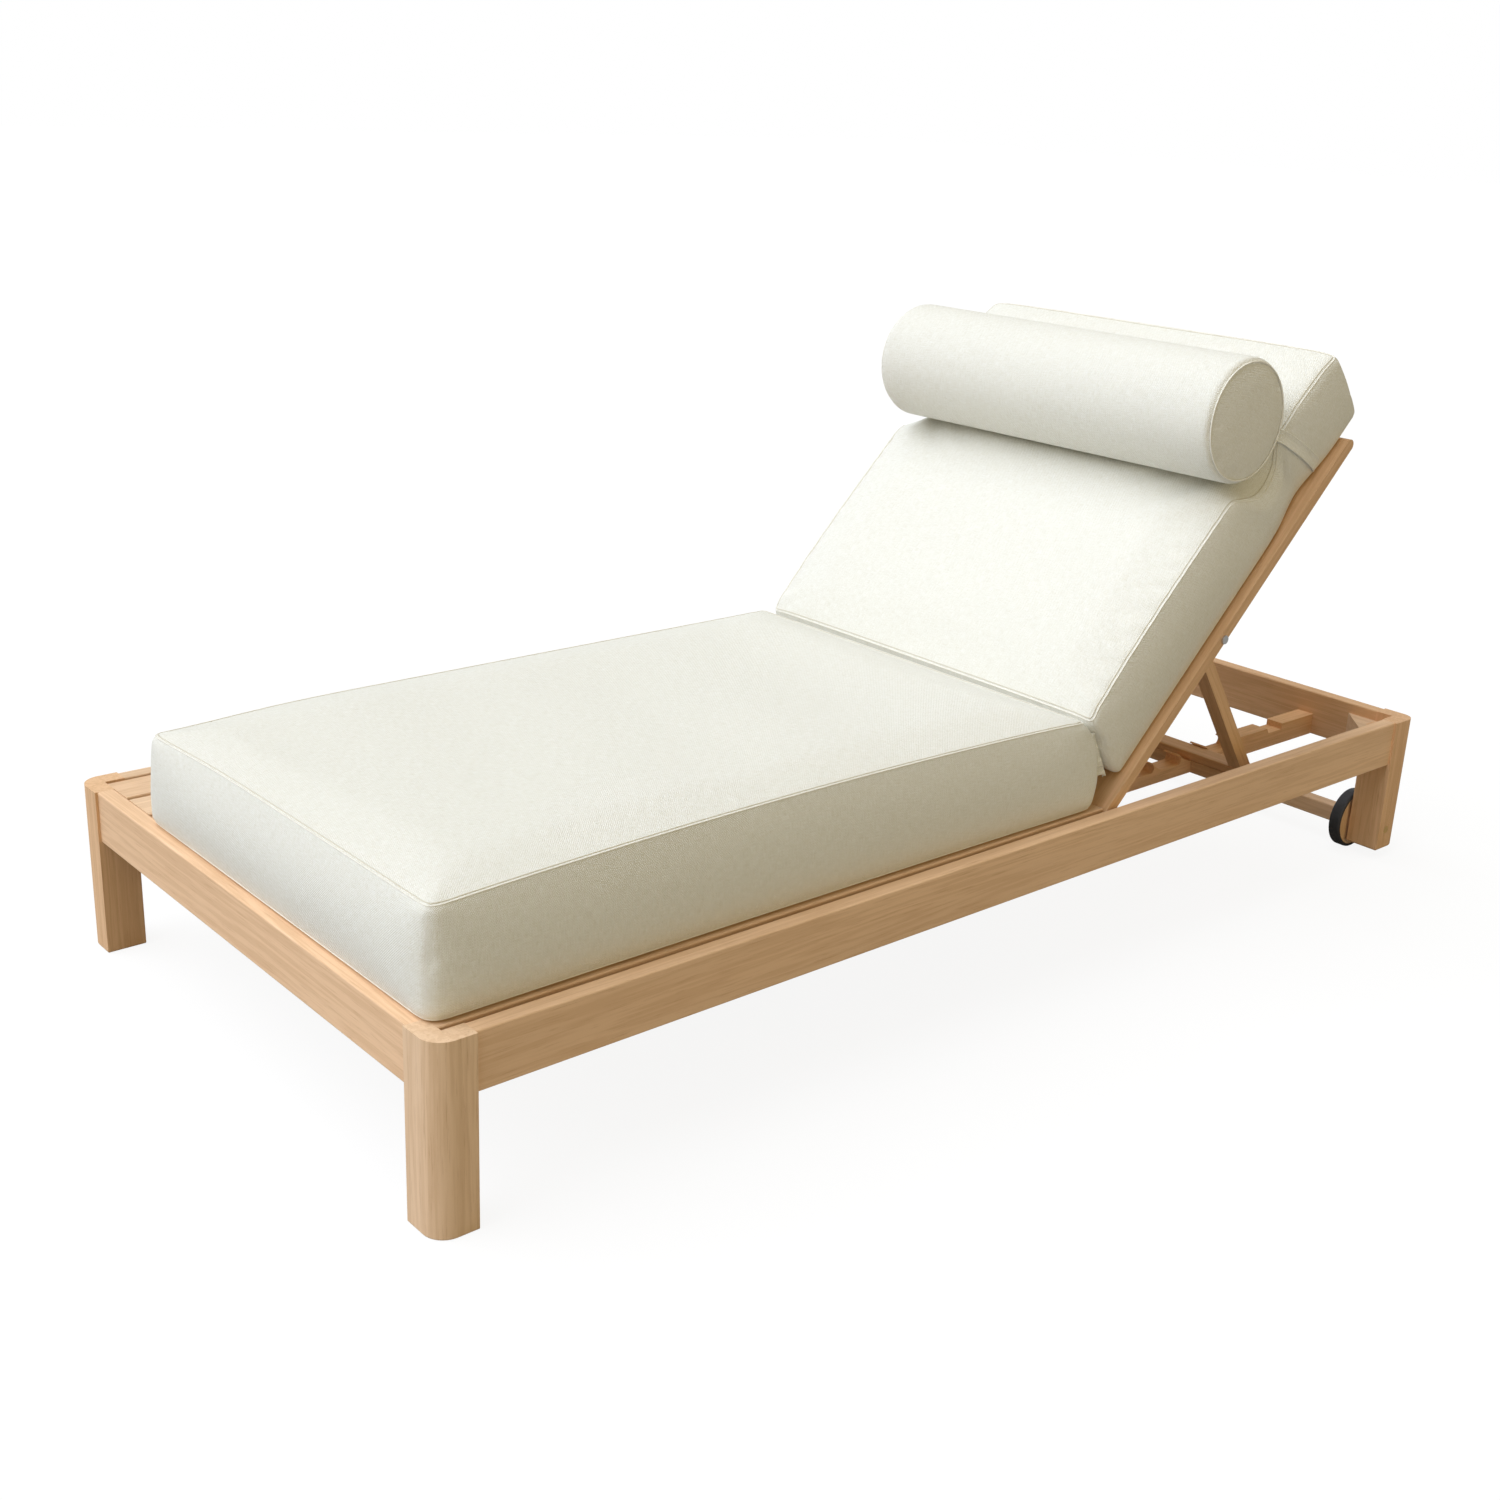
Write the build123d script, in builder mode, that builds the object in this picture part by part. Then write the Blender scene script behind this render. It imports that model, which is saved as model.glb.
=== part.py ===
"""Wooden double chaise lounger with a ratchet backrest, two wheels, a seat mattress,
a back cushion and a strapped bolster.

X runs across (+X is the sitter's left), Y runs from the foot (-Y) to the head (+Y), Z is up.
The pieces are drawn about the middle of the wooden frame and written about the middle of the
overall length, because the wheels stand out behind the head legs. The origin is on the floor.
Sizes are millimetres.
"""
from build123d import *
import os
from math import atan2, cos, degrees, radians, sin, sqrt, tan

os.makedirs("parts", exist_ok=True)

# Overall frame
length = 2000.0
half_width = 496.0
frame_top = 257.6
rail_height = 78.4
rail_thick = 25.0
rail_set_back = 4.0
arris = 2.5

# Legs
foot_leg_x = 63.5
foot_leg_y = 59.0
head_leg_x = 60.0
head_leg_y = 61.0
foot_corner_radius = 30.0
head_corner_radius = 22.0
head_leg_lift = 16.0
head_foot_radius = 9.0

# Deck slats and the bearers below them
slat_count = 12
shelf_slat_count = 2
slat_gap = 8.0
slat_thick = 18.0
bearer_wide = 40.0
bearer_high = 24.0
bearer_count = 3
first_bearer_inset = 171.0
last_bearer_inset = 188.0
hinge_rail_wide = 40.0
shelf_rail_thick = 18.0
shelf_rail_gap = 4.0
shelf_bearer_count = 2

# Backrest, measured along its own slope from the hinge
back_angle = 45.0
back_thick = 18.0
back_length = 742.0
stile_wide = 47.0
stile_side_gap = 4.5
slat_end_gap = 2.0
pin_radius = 4.0
pin_in_rail = 14.0
pin_in_stile = 38.0
running_fit = 0.06
fixed_fit = 0.03
back_rail_wide = 50.0
bottom_rail_start = 14.0
back_slat_count = 8
batten_thick = 16.0
batten_wide = 34.0
batten_places = (205.0, 480.0)

# Prop frame
pivot_along = 334.7
pivot_set_back = 2.6
prop_leg_thick = 26.0
prop_leg_deep = 22.7
prop_side_gap = 4.0
prop_bar_wide = 40.0
prop_bar_thick = 14.0
prop_seat_gap = 0.3
washer_radius = 9.0
washer_thick = 1.6
bolt_head_radius = 7.0
bolt_head_high = 3.0

# Notched racks and the cross rail that carries them
rack_thick = 32.0
rack_offset = 207.0
rack_floor = 200.5
tooth_pitch = 73.5
tooth_count = 4
locked_tooth = 2
hinge_to_tooth = 447.5
tooth_tip = 219.0
tooth_nose = 2.5
tooth_hollow = 9.0
tooth_foot = 4.0
tooth_ramp = 36.0
tooth_ramp_mid = 18.0
tooth_ramp_hollow = 2.5
land_top = 215.5
last_tooth_ramp = 21.0
land_long = 89.0
last_notch_long = 45.0
end_block_long = 96.0
last_notch_floor = 206.0
last_notch_slope = 6.0
end_block_top = 217.0
mid_rail_wide = 40.0
mid_rail_under_tooth = 35.5

# Corner blocks
block_reach = 85.0
block_high = 40.0
corner_bolt_radius = 4.0
corner_bolt_length = 58.0
corner_nut_radius = 7.5
corner_nut_high = 6.5

# Wheels and axle
wheel_radius = 53.0
wheel_wide = 22.0
tyre_thick = 5.5
tyre_shoulder = 4.0
hub_dish = 3.0
hub_boss_radius = 15.0
wheel_side_gap = 2.0
axle_radius = 5.0
axle_inset = 38.0
axle_in_beam = 42.0
axle_beam_y = 26.0
axle_beam_z = 30.0
axle_head_radius = 7.0
axle_head_high = 2.6

# Seat mattress
mattress_shelf_gap = 6.7
mattress_rail_gap = 17.0
mattress_foot_inset = 26.0
mattress_to_hinge = 30.2
mattress_gap = 0.3
mattress_edge_high = 140.0
mattress_crown = 20.0
mattress_side_bulge = 4.0
mattress_end_lean = 6.0
mattress_end_cut = 40.0
mattress_end_cut_high = 46.0
mattress_corner_radius = 32.0
mattress_plan_draw = 5.0

# Back cushion, in the backrest's own slope
back_cushion_side_gap = 17.8
back_cushion_start = 46.0
back_cushion_slant = 18.0
back_cushion_deep = 141.0
back_cushion_bulge = 8.0
waist_deep = 120.0
waist_fall = 87.0
waist_rise = 65.0
waist_reach = 104.0
head_long = 144.0
head_deep = 136.0
head_over = 44.0
head_slant = 11.0
head_bulge = 4.0
waist_draw = 13.0
cushion_corner = 24.0
cushion_gap = 0.3

# Bolster and its strap
bolster_radius = 96.0
bolster_far_inset = 18.0
bolster_near_inset = 4.0
bolster_edge = 13.0
bolster_dome = 5.0
strap_wide = 21.0
strap_thick = 2.4
strap_to_head = 2.0
strap_over = 2.4
strap_ease = 9.3

# Places worked out from the sizes above
half_length = length / 2
rail_outer = half_width - rail_set_back
rail_inner = rail_outer - rail_thick
foot_inner_y = -half_length + rail_set_back + rail_thick
head_inner_y = -foot_inner_y
foot_leg_in_x = half_width - foot_leg_x
foot_leg_in_y = -half_length + foot_leg_y
head_leg_in_x = half_width - head_leg_x
head_leg_in_y = half_length - head_leg_y
rail_bottom = frame_top - rail_height
axle_y = half_length - axle_inset
last_notch_end = head_inner_y - end_block_long
last_notch_start = last_notch_end - last_notch_long
land_start = last_notch_start - land_long
last_tooth_y = land_start - last_tooth_ramp
locked_tooth_y = last_tooth_y - (tooth_count - 1 - locked_tooth) * tooth_pitch
hinge_y = locked_tooth_y - hinge_to_tooth
mid_rail_y = locked_tooth_y - mid_rail_under_tooth
prop_bar_far_edge = locked_tooth_y + tooth_foot
deck_under = frame_top - slat_thick
slat_wide = (2 * rail_inner - (slat_count + 1) * slat_gap) / slat_count
slat_pitch = slat_wide + slat_gap
hinge_z = frame_top - back_thick / 2
slat_end_y = hinge_y - back_thick / 2 - slat_end_gap
shelf_edge_x = -rail_inner + shelf_slat_count * slat_pitch
shelf_rail_out = shelf_edge_x + shelf_rail_gap
shelf_rail_in = shelf_rail_out + shelf_rail_thick
bay_x = (rail_inner + shelf_rail_in) / 2
bay_half = (rail_inner - shelf_rail_in) / 2
stile_out = bay_half - stile_side_gap
stile_in = stile_out - stile_wide
prop_out = stile_in - prop_side_gap
prop_in = prop_out - prop_leg_thick
back_slats_half = prop_in - prop_side_gap
back_slat_wide = (2 * back_slats_half - (back_slat_count - 1) * slat_gap) / back_slat_count
back_front = back_thick / 2
back_cushion_half = bay_half - back_cushion_side_gap
head_end = back_length + head_over
head_start = head_end - head_long
waist_along = head_start - waist_rise
back_panel_end = waist_along - waist_fall
strap_start = head_start - strap_to_head
bolster_low_x = bay_x - back_cushion_half + bolster_far_inset
bolster_high_x = bay_x + back_cushion_half - bolster_near_inset
mattress_low_x = shelf_rail_in + mattress_shelf_gap
mattress_high_x = rail_inner - mattress_rail_gap
mattress_foot_y = -half_length + mattress_foot_inset
mattress_head_y = hinge_y - mattress_to_hinge
top_rail_end = back_length - back_thick
top_rail_start = top_rail_end - back_rail_wide
bottom_rail_end = bottom_rail_start + back_rail_wide
slope_y = cos(radians(back_angle))
slope_z = sin(radians(back_angle))
pivot_y = hinge_y + pivot_along * slope_y + pivot_set_back * slope_z
pivot_z = hinge_z + pivot_along * slope_z - pivot_set_back * slope_y
prop_bar_low = rack_floor + prop_seat_gap
prop_bar_top = prop_bar_low + prop_bar_thick
prop_bar_mid_y = prop_bar_far_edge - prop_bar_wide / 2
prop_run_y = prop_bar_mid_y - pivot_y
prop_fall_z = pivot_z - (prop_bar_low + prop_bar_top) / 2
prop_length = sqrt(prop_run_y ** 2 + prop_fall_z ** 2)
prop_angle = degrees(atan2(-prop_fall_z, prop_run_y))
wheel_out_x = head_leg_in_x - wheel_side_gap
wheel_in_x = wheel_out_x - wheel_wide
beam_end_x = wheel_in_x - wheel_side_gap
wheel_overhang = axle_y + wheel_radius - half_length


def side_plane(x):
    """Plane across X: its own x is the frame's Y and its own y is Z."""
    return Plane(origin=(x, 0, 0), x_dir=(0, 1, 0), z_dir=(1, 0, 0))


def slope_plane(x):
    """Plane across X in the backrest's slope: along the back, then out of its front."""
    return Plane(origin=(x, hinge_y, hinge_z), x_dir=(0, slope_y, slope_z), z_dir=(1, 0, 0))


def slope_point(x, along, out):
    """Point given along the backrest and out of its mid plane."""
    y = hinge_y + along * slope_y - out * slope_z
    z = hinge_z + along * slope_z + out * slope_y
    return (x, y, z)


def finish(builder, label):
    """Move a finished piece to the overall middle, label it and write it."""
    builder.part = builder.part.moved(Location((0, -wheel_overhang / 2, 0)))
    builder.part.label = label
    export_step(builder.part, "parts/" + label + ".step")


def board(label, low, high, long_axis, radius=arris):
    """A planed board between two corners, its long edges eased."""
    with BuildPart() as piece:
        with BuildSketch(Plane.XY.offset(low[2])):
            with Locations(((low[0] + high[0]) / 2, (low[1] + high[1]) / 2)):
                Rectangle(high[0] - low[0], high[1] - low[1])
        extrude(amount=high[2] - low[2])
        fillet(piece.edges().filter_by(long_axis), radius)
    finish(piece, label)


def leg(label, side, end, size, corner, lift):
    """A corner leg: a rounded outer corner and a stepped top that takes the deck."""
    size_x, size_y = size
    out_x = side * half_width
    out_y = end * half_length
    in_x = side * (half_width - size_x)
    in_y = end * (half_length - size_y)
    step_x = side * rail_inner
    step_y = end * head_inner_y
    with BuildPart() as piece:
        with BuildSketch(Plane.XY.offset(lift)):
            with Locations(((out_x + in_x) / 2, (out_y + in_y) / 2)):
                Rectangle(size_x, size_y)
        extrude(amount=frame_top - lift)
        outer = piece.edges().filter_by(Axis.Z).sort_by_distance((out_x, out_y, frame_top))[0]
        fillet(outer, corner)
        with BuildSketch(Plane.XY.offset(deck_under)):
            with Locations(((step_x + in_x) / 2, (step_y + in_y) / 2)):
                Rectangle(abs(step_x - in_x), abs(step_y - in_y))
        extrude(amount=slat_thick, mode=Mode.SUBTRACT)
        bottom = piece.faces().sort_by(Axis.Z)[0].edges()
        fillet(bottom, arris if end < 0 else head_foot_radius / 2)
        with BuildSketch(diagonal_plane(in_x, in_y, side, end, corner_bolt_length)):
            Circle(corner_bolt_radius + fixed_fit)
        extrude(amount=2 * corner_bolt_length, mode=Mode.SUBTRACT)
        if end > 0:
            with BuildSketch(side_plane(in_x)):
                with Locations((axle_y, wheel_radius)):
                    Circle(axle_radius + fixed_fit)
            extrude(amount=side * size_x, mode=Mode.SUBTRACT)
            with BuildSketch(side_plane(out_x)):
                with Locations((axle_y, wheel_radius)):
                    Circle(axle_head_radius + fixed_fit)
            extrude(amount=-side * axle_head_high, mode=Mode.SUBTRACT)
    finish(piece, label)


def diagonal_plane(in_x, in_y, side, end, back_off):
    """Plane square to the corner's diagonal, the given way in from the leg's inner corner."""
    way = (side * sqrt(0.5), end * sqrt(0.5), 0)
    middle = (in_x - way[0] * back_off, in_y - way[1] * back_off, deck_under - block_high / 2)
    return Plane(origin=middle, z_dir=way)


def side_rail(label, side):
    """A long side rail between two legs, with the hinge pin's socket on the bay side."""
    low_x = min(side * rail_inner, side * rail_outer)
    with BuildPart() as piece:
        with BuildSketch(side_plane(low_x)):
            with Locations(((foot_leg_in_y + head_leg_in_y) / 2, (rail_bottom + frame_top) / 2)):
                Rectangle(head_leg_in_y - foot_leg_in_y, rail_height)
        extrude(amount=rail_thick)
        fillet(piece.edges().filter_by(Axis.Y), arris)
        if side > 0:
            with BuildSketch(side_plane(low_x)):
                with Locations((hinge_y, hinge_z)):
                    Circle(pin_radius + fixed_fit)
            extrude(amount=pin_in_rail, mode=Mode.SUBTRACT)
    finish(piece, label)


def end_rail(label, end, leg_in_x):
    """The foot or head rail between its two legs."""
    inner = end * head_inner_y
    outer = end * (half_length - rail_set_back)
    low = (-leg_in_x, min(inner, outer), rail_bottom)
    high = (leg_in_x, max(inner, outer), frame_top)
    board(label, low, high, Axis.X)


def shelf_rail():
    """The inner long rail between the shelf slats and the backrest's bay."""
    low_z = rack_floor
    with BuildPart() as piece:
        with BuildSketch(side_plane(shelf_rail_out)):
            with Locations(((slat_end_y + head_inner_y) / 2, (low_z + frame_top) / 2)):
                Rectangle(head_inner_y - slat_end_y, frame_top - low_z)
        extrude(amount=shelf_rail_thick)
        fillet(piece.edges().filter_by(Axis.Y), arris)
        with BuildSketch(side_plane(shelf_rail_in - pin_in_rail)):
            with Locations((hinge_y, hinge_z)):
                Circle(pin_radius + fixed_fit)
        extrude(amount=pin_in_rail, mode=Mode.SUBTRACT)
    finish(piece, "shelf_rail")


def deck():
    """Lengthwise deck slats: the shelf's run the whole length, the seat's stop at the hinge."""
    for index in range(slat_count):
        low_x = -rail_inner + slat_gap + index * slat_pitch
        end_y = head_inner_y if index < shelf_slat_count else slat_end_y
        label = "deck_slat_" + str(index + 1).zfill(2)
        low = (low_x, foot_inner_y, deck_under)
        board(label, low, (low_x + slat_wide, end_y, frame_top), Axis.Y)


def bearers():
    """Cross bearers under the seat slats, and short ones under the shelf slats."""
    first = foot_inner_y + first_bearer_inset
    step = (slat_end_y - last_bearer_inset - first) / (bearer_count - 1)
    for index in range(bearer_count):
        y = first + index * step
        low = (-rail_inner, y - bearer_wide / 2, deck_under - bearer_high)
        high = (rail_inner, y + bearer_wide / 2, deck_under)
        board("seat_bearer_" + str(index + 1), low, high, Axis.X)
    spacing = (head_inner_y - slat_end_y) / (shelf_bearer_count + 1)
    with BuildPart() as piece:
        with BuildSketch(Plane.XY.offset(deck_under - bearer_high)):
            for index in range(shelf_bearer_count):
                y = slat_end_y + (index + 1) * spacing
                with Locations(((shelf_rail_out - rail_inner) / 2, y)):
                    Rectangle(shelf_rail_out + rail_inner, bearer_wide)
        extrude(amount=bearer_high)
        fillet(piece.edges().filter_by(Axis.X), arris)
    finish(piece, "shelf_bearers")


def cross_rails():
    """The rail under the hinge, and the low rail that is lapped with both racks."""
    low = (-rail_inner, slat_end_y - hinge_rail_wide, rail_bottom)
    board("hinge_rail", low, (rail_inner, slat_end_y, deck_under), Axis.X)
    with BuildPart() as piece:
        with BuildSketch(Plane.XY.offset(rail_bottom)):
            with Locations((0, mid_rail_y + mid_rail_wide / 2)):
                Rectangle(2 * rail_inner, mid_rail_wide)
        extrude(amount=rack_floor - rail_bottom)
        fillet(piece.edges().filter_by(Axis.X), arris / 2)
        with BuildSketch(Plane.XY.offset((rail_bottom + rack_floor) / 2)):
            for side in (-1, 1):
                with Locations((bay_x + side * rack_offset, mid_rail_y + mid_rail_wide / 2)):
                    Rectangle(rack_thick, mid_rail_wide)
        extrude(amount=rack_floor, mode=Mode.SUBTRACT)
    finish(piece, "mid_rail")


def rack_outline():
    """Outline of a rack: hooked teeth with a hollow toward the foot, a land and a last notch."""
    first_tip = locked_tooth_y - locked_tooth * tooth_pitch
    start = (slat_end_y, rack_floor)
    Line((slat_end_y, rail_bottom), start)
    here = start
    for index in range(tooth_count):
        tip_y = first_tip + index * tooth_pitch
        foot = (tip_y + tooth_foot, rack_floor)
        Line(here, foot)
        hollow = (tip_y + tooth_hollow, (rack_floor + tooth_tip) / 2 - tooth_nose)
        ThreePointArc(foot, hollow, (tip_y, tooth_tip - tooth_nose))
        Line((tip_y, tooth_tip - tooth_nose), (tip_y + tooth_nose, tooth_tip))
        ramp_end = (tip_y + tooth_ramp, rack_floor)
        nose = (tip_y + tooth_nose, tooth_tip)
        if index == tooth_count - 1:
            ramp_end = (land_start, land_top)
            Line(nose, ramp_end)
        else:
            ramp_mid = (rack_floor + tooth_tip) / 2 - tooth_ramp_hollow
            ThreePointArc(nose, (tip_y + tooth_ramp_mid, ramp_mid), ramp_end)
        here = ramp_end
    land_end = (last_notch_start, land_top)
    Line(here, land_end)
    Line(land_end, (last_notch_start + last_notch_slope, last_notch_floor))
    Line((last_notch_start + last_notch_slope, last_notch_floor), (last_notch_end, last_notch_floor))
    Line((last_notch_end, last_notch_floor), (last_notch_end, end_block_top))
    Line((last_notch_end, end_block_top), (head_inner_y, end_block_top))
    Line((head_inner_y, end_block_top), (head_inner_y, rail_bottom))
    Line((head_inner_y, rail_bottom), (slat_end_y, rail_bottom))


def rack(label, side):
    """A hooked ratchet rack, notched below where it crosses the mid rail."""
    low_x = bay_x + side * rack_offset - rack_thick / 2
    with BuildPart() as piece:
        with BuildSketch(side_plane(low_x)):
            with BuildLine():
                rack_outline()
            make_face()
        extrude(amount=rack_thick)
        with BuildSketch(side_plane(low_x)):
            with Locations((mid_rail_y + mid_rail_wide / 2, (rail_bottom + rack_floor) / 2)):
                with Locations((0, -(rack_floor - rail_bottom) / 2)):
                    Rectangle(mid_rail_wide, rack_floor - rail_bottom)
        extrude(amount=rack_thick, mode=Mode.SUBTRACT)
    finish(piece, label)


def corner_blocks():
    """Glued and bolted blocks in the four inner corners."""
    with BuildPart() as piece:
        with BuildSketch(Plane.XY.offset(deck_under - block_high)):
            for side in (-1, 1):
                for end in (-1, 1):
                    in_x = head_leg_in_x if end > 0 else foot_leg_in_x
                    in_y = head_leg_in_y if end > 0 else -foot_leg_in_y
                    points = [
                        (rail_inner - block_reach, head_inner_y),
                        (in_x, head_inner_y),
                        (in_x, in_y),
                        (rail_inner, in_y),
                        (rail_inner, head_inner_y - block_reach),
                    ]
                    with BuildLine():
                        Polyline([(side * x, end * y) for x, y in points], close=True)
                    make_face()
        extrude(amount=block_high)
        for side in (-1, 1):
            for end in (-1, 1):
                in_x = side * (head_leg_in_x if end > 0 else foot_leg_in_x)
                in_y = head_leg_in_y if end > 0 else foot_leg_in_y
                with BuildSketch(diagonal_plane(in_x, in_y, side, end, corner_bolt_length)):
                    Circle(corner_bolt_radius + fixed_fit)
                extrude(amount=2 * corner_bolt_length, mode=Mode.SUBTRACT)
    finish(piece, "corner_blocks")


def corner_bolts():
    """A bolt and nut on the diagonal of each corner."""
    with BuildPart() as piece:
        for side in (-1, 1):
            for end in (-1, 1):
                in_x = side * (head_leg_in_x if end > 0 else foot_leg_in_x)
                in_y = head_leg_in_y if end > 0 else foot_leg_in_y
                face = block_face_depth(end)
                with BuildSketch(diagonal_plane(in_x, in_y, side, end, face + corner_nut_high)):
                    RegularPolygon(corner_nut_radius, 6)
                extrude(amount=corner_nut_high)
                with BuildSketch(diagonal_plane(in_x, in_y, side, end, face)):
                    Circle(corner_bolt_radius)
                extrude(amount=corner_bolt_length)
    finish(piece, "corner_bolts")


def block_face_depth(end):
    """How far the corner block's slanted face is from the leg's inner corner."""
    in_x = head_leg_in_x if end > 0 else foot_leg_in_x
    in_y = head_leg_in_y if end > 0 else -foot_leg_in_y
    return (in_x + in_y - rail_inner - head_inner_y + block_reach) * sqrt(0.5)


def axle():
    """The beam between the wheels, and the bolts on which they turn."""
    with BuildPart() as beam:
        with BuildSketch(side_plane(-beam_end_x)):
            with Locations((axle_y, wheel_radius)):
                Rectangle(axle_beam_y, axle_beam_z)
        extrude(amount=2 * beam_end_x)
        fillet(beam.edges().filter_by(Axis.X), arris)
        for side in (-1, 1):
            with BuildSketch(side_plane(side * beam_end_x)):
                with Locations((axle_y, wheel_radius)):
                    Circle(axle_radius + fixed_fit)
            extrude(amount=-side * axle_in_beam, mode=Mode.SUBTRACT)
    finish(beam, "axle_beam")
    with BuildPart() as bolts:
        for side in (-1, 1):
            inner = side * (beam_end_x - axle_in_beam)
            with BuildSketch(side_plane(inner)):
                with Locations((axle_y, wheel_radius)):
                    Circle(axle_radius)
            extrude(amount=side * (half_width - beam_end_x + axle_in_beam))
            with BuildSketch(side_plane(side * half_width)):
                with Locations((axle_y, wheel_radius)):
                    Circle(axle_head_radius)
            extrude(amount=-side * axle_head_high)
    finish(bolts, "axle_bolts")


def wheel(side_name, side):
    """A turned wooden hub disc with a rubber tyre."""
    low_x = min(side * wheel_in_x, side * wheel_out_x)
    hub_radius = wheel_radius - tyre_thick
    middle = low_x + wheel_wide / 2
    axis = Axis((middle, axle_y, wheel_radius), (1, 0, 0))
    plane = Plane(origin=(middle, axle_y, wheel_radius), x_dir=(1, 0, 0), z_dir=(0, -1, 0))
    half = wheel_wide / 2
    bore = axle_radius + running_fit
    face = half - hub_dish
    with BuildPart() as hub:
        with BuildSketch(plane):
            with BuildLine():
                Polyline(
                    (-half, bore), (half, bore), (half, hub_boss_radius),
                    (face, hub_boss_radius + hub_dish), (face, hub_radius - 2 * hub_dish),
                    (half - hub_dish / 2, hub_radius - hub_dish), (half - hub_dish / 2, hub_radius),
                    (hub_dish / 2 - half, hub_radius), (hub_dish / 2 - half, hub_radius - hub_dish),
                    (-face, hub_radius - 2 * hub_dish), (-face, hub_boss_radius + hub_dish),
                    (-half, hub_boss_radius), close=True)
            make_face()
        revolve(axis=axis)
    finish(hub, "wheel_hub_" + side_name)
    seat = hub_radius + fixed_fit
    with BuildPart() as tyre:
        with BuildSketch(plane):
            with BuildLine():
                Line((-half, seat), (half, seat))
                Line((half, seat), (half, wheel_radius - tyre_shoulder))
                RadiusArc((half, wheel_radius - tyre_shoulder), (half - tyre_shoulder, wheel_radius),
                          -tyre_shoulder)
                Line((half - tyre_shoulder, wheel_radius), (tyre_shoulder - half, wheel_radius))
                RadiusArc((tyre_shoulder - half, wheel_radius), (-half, wheel_radius - tyre_shoulder),
                          -tyre_shoulder)
                Line((-half, wheel_radius - tyre_shoulder), (-half, seat))
            make_face()
        revolve(axis=axis)
    finish(tyre, "wheel_tyre_" + side_name)


def back_stile(label, side):
    """A long backrest stile: round at the hinge and at the top, bored for both bolts."""
    low_x = bay_x + min(side * stile_in, side * stile_out)
    middle = (back_length - back_front) / 2
    with BuildPart() as piece:
        with BuildSketch(slope_plane(low_x)):
            with Locations((middle - back_front / 2, 0)):
                SlotOverall(back_length, back_thick)
        extrude(amount=stile_wide)
        with BuildSketch(slope_plane(low_x)):
            Circle(pin_radius + running_fit)
        extrude(amount=stile_wide, mode=Mode.SUBTRACT)
        with BuildSketch(slope_plane(low_x)):
            with Locations((pivot_along, -pivot_set_back)):
                Circle(pin_radius + fixed_fit)
        extrude(amount=stile_wide, mode=Mode.SUBTRACT)
    finish(piece, label)


def back_board(label, low_x, high_x, low, high):
    """A board of the backrest, given along the slope and out of its mid plane."""
    with BuildPart() as piece:
        with BuildSketch(slope_plane(low_x)):
            with Locations(((low[0] + high[0]) / 2, (low[1] + high[1]) / 2)):
                Rectangle(high[0] - low[0], high[1] - low[1])
        extrude(amount=high_x - low_x)
        if high_x - low_x > high[0] - low[0]:
            fillet(piece.edges().filter_by(Axis.X), arris)
        else:
            slope = Axis((0, 0, 0), (0, slope_y, slope_z))
            fillet(piece.edges().filter_by(slope), arris)
    finish(piece, label)


def backrest():
    """Rails between the stiles, lengthwise slats and the battens behind them."""
    low_x = bay_x - stile_in
    high_x = bay_x + stile_in
    back_board("back_bottom_rail", low_x, high_x,
               (bottom_rail_start, -back_front), (bottom_rail_end, back_front))
    back_board("back_top_rail", low_x, high_x,
               (top_rail_start, -back_front), (top_rail_end, back_front))
    for index in range(back_slat_count):
        x = bay_x - back_slats_half + index * (back_slat_wide + slat_gap)
        back_board("back_slat_" + str(index + 1), x, x + back_slat_wide,
                   (bottom_rail_end, -back_front), (top_rail_start, back_front))
    with BuildPart() as battens:
        with BuildSketch(slope_plane(bay_x - back_slats_half)):
            for along in batten_places:
                with Locations((along, -back_front - batten_thick / 2)):
                    Rectangle(batten_wide, batten_thick)
        extrude(amount=2 * back_slats_half)
        fillet(battens.edges().filter_by(Axis.X), arris)
    finish(battens, "back_battens")


def hinge_pins():
    """The two pins on which the backrest turns."""
    with BuildPart() as piece:
        for side in (-1, 1):
            inner = bay_x + side * (stile_out - pin_in_stile)
            outer = bay_x + side * (bay_half + pin_in_rail)
            with BuildSketch(slope_plane(min(inner, outer))):
                Circle(pin_radius)
            extrude(amount=abs(outer - inner))
    finish(piece, "hinge_pins")


def prop_bolts():
    """The two pivot bolts of the prop, with a dome head, a washer and a nut."""
    with BuildPart() as piece:
        for side in (-1, 1):
            head = bay_x + side * stile_out
            inner = bay_x + side * prop_in
            with BuildSketch(slope_plane(min(head, inner))):
                with Locations((pivot_along, -pivot_set_back)):
                    Circle(pin_radius)
            extrude(amount=abs(head - inner))
            with BuildSketch(slope_plane(head)):
                with Locations((pivot_along, -pivot_set_back)):
                    Circle(bolt_head_radius)
            extrude(amount=side * bolt_head_high)
            with BuildSketch(slope_plane(bay_x + side * (stile_in - prop_side_gap / 4))):
                with Locations((pivot_along, -pivot_set_back)):
                    Circle(washer_radius)
            extrude(amount=-side * washer_thick)
    finish(piece, "prop_bolts")


def prop_plane(x):
    """Plane across X in the prop's slope: from its pivot toward its foot."""
    way = radians(prop_angle)
    return Plane(origin=(x, pivot_y, pivot_z), x_dir=(0, cos(way), sin(way)), z_dir=(1, 0, 0))


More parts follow.
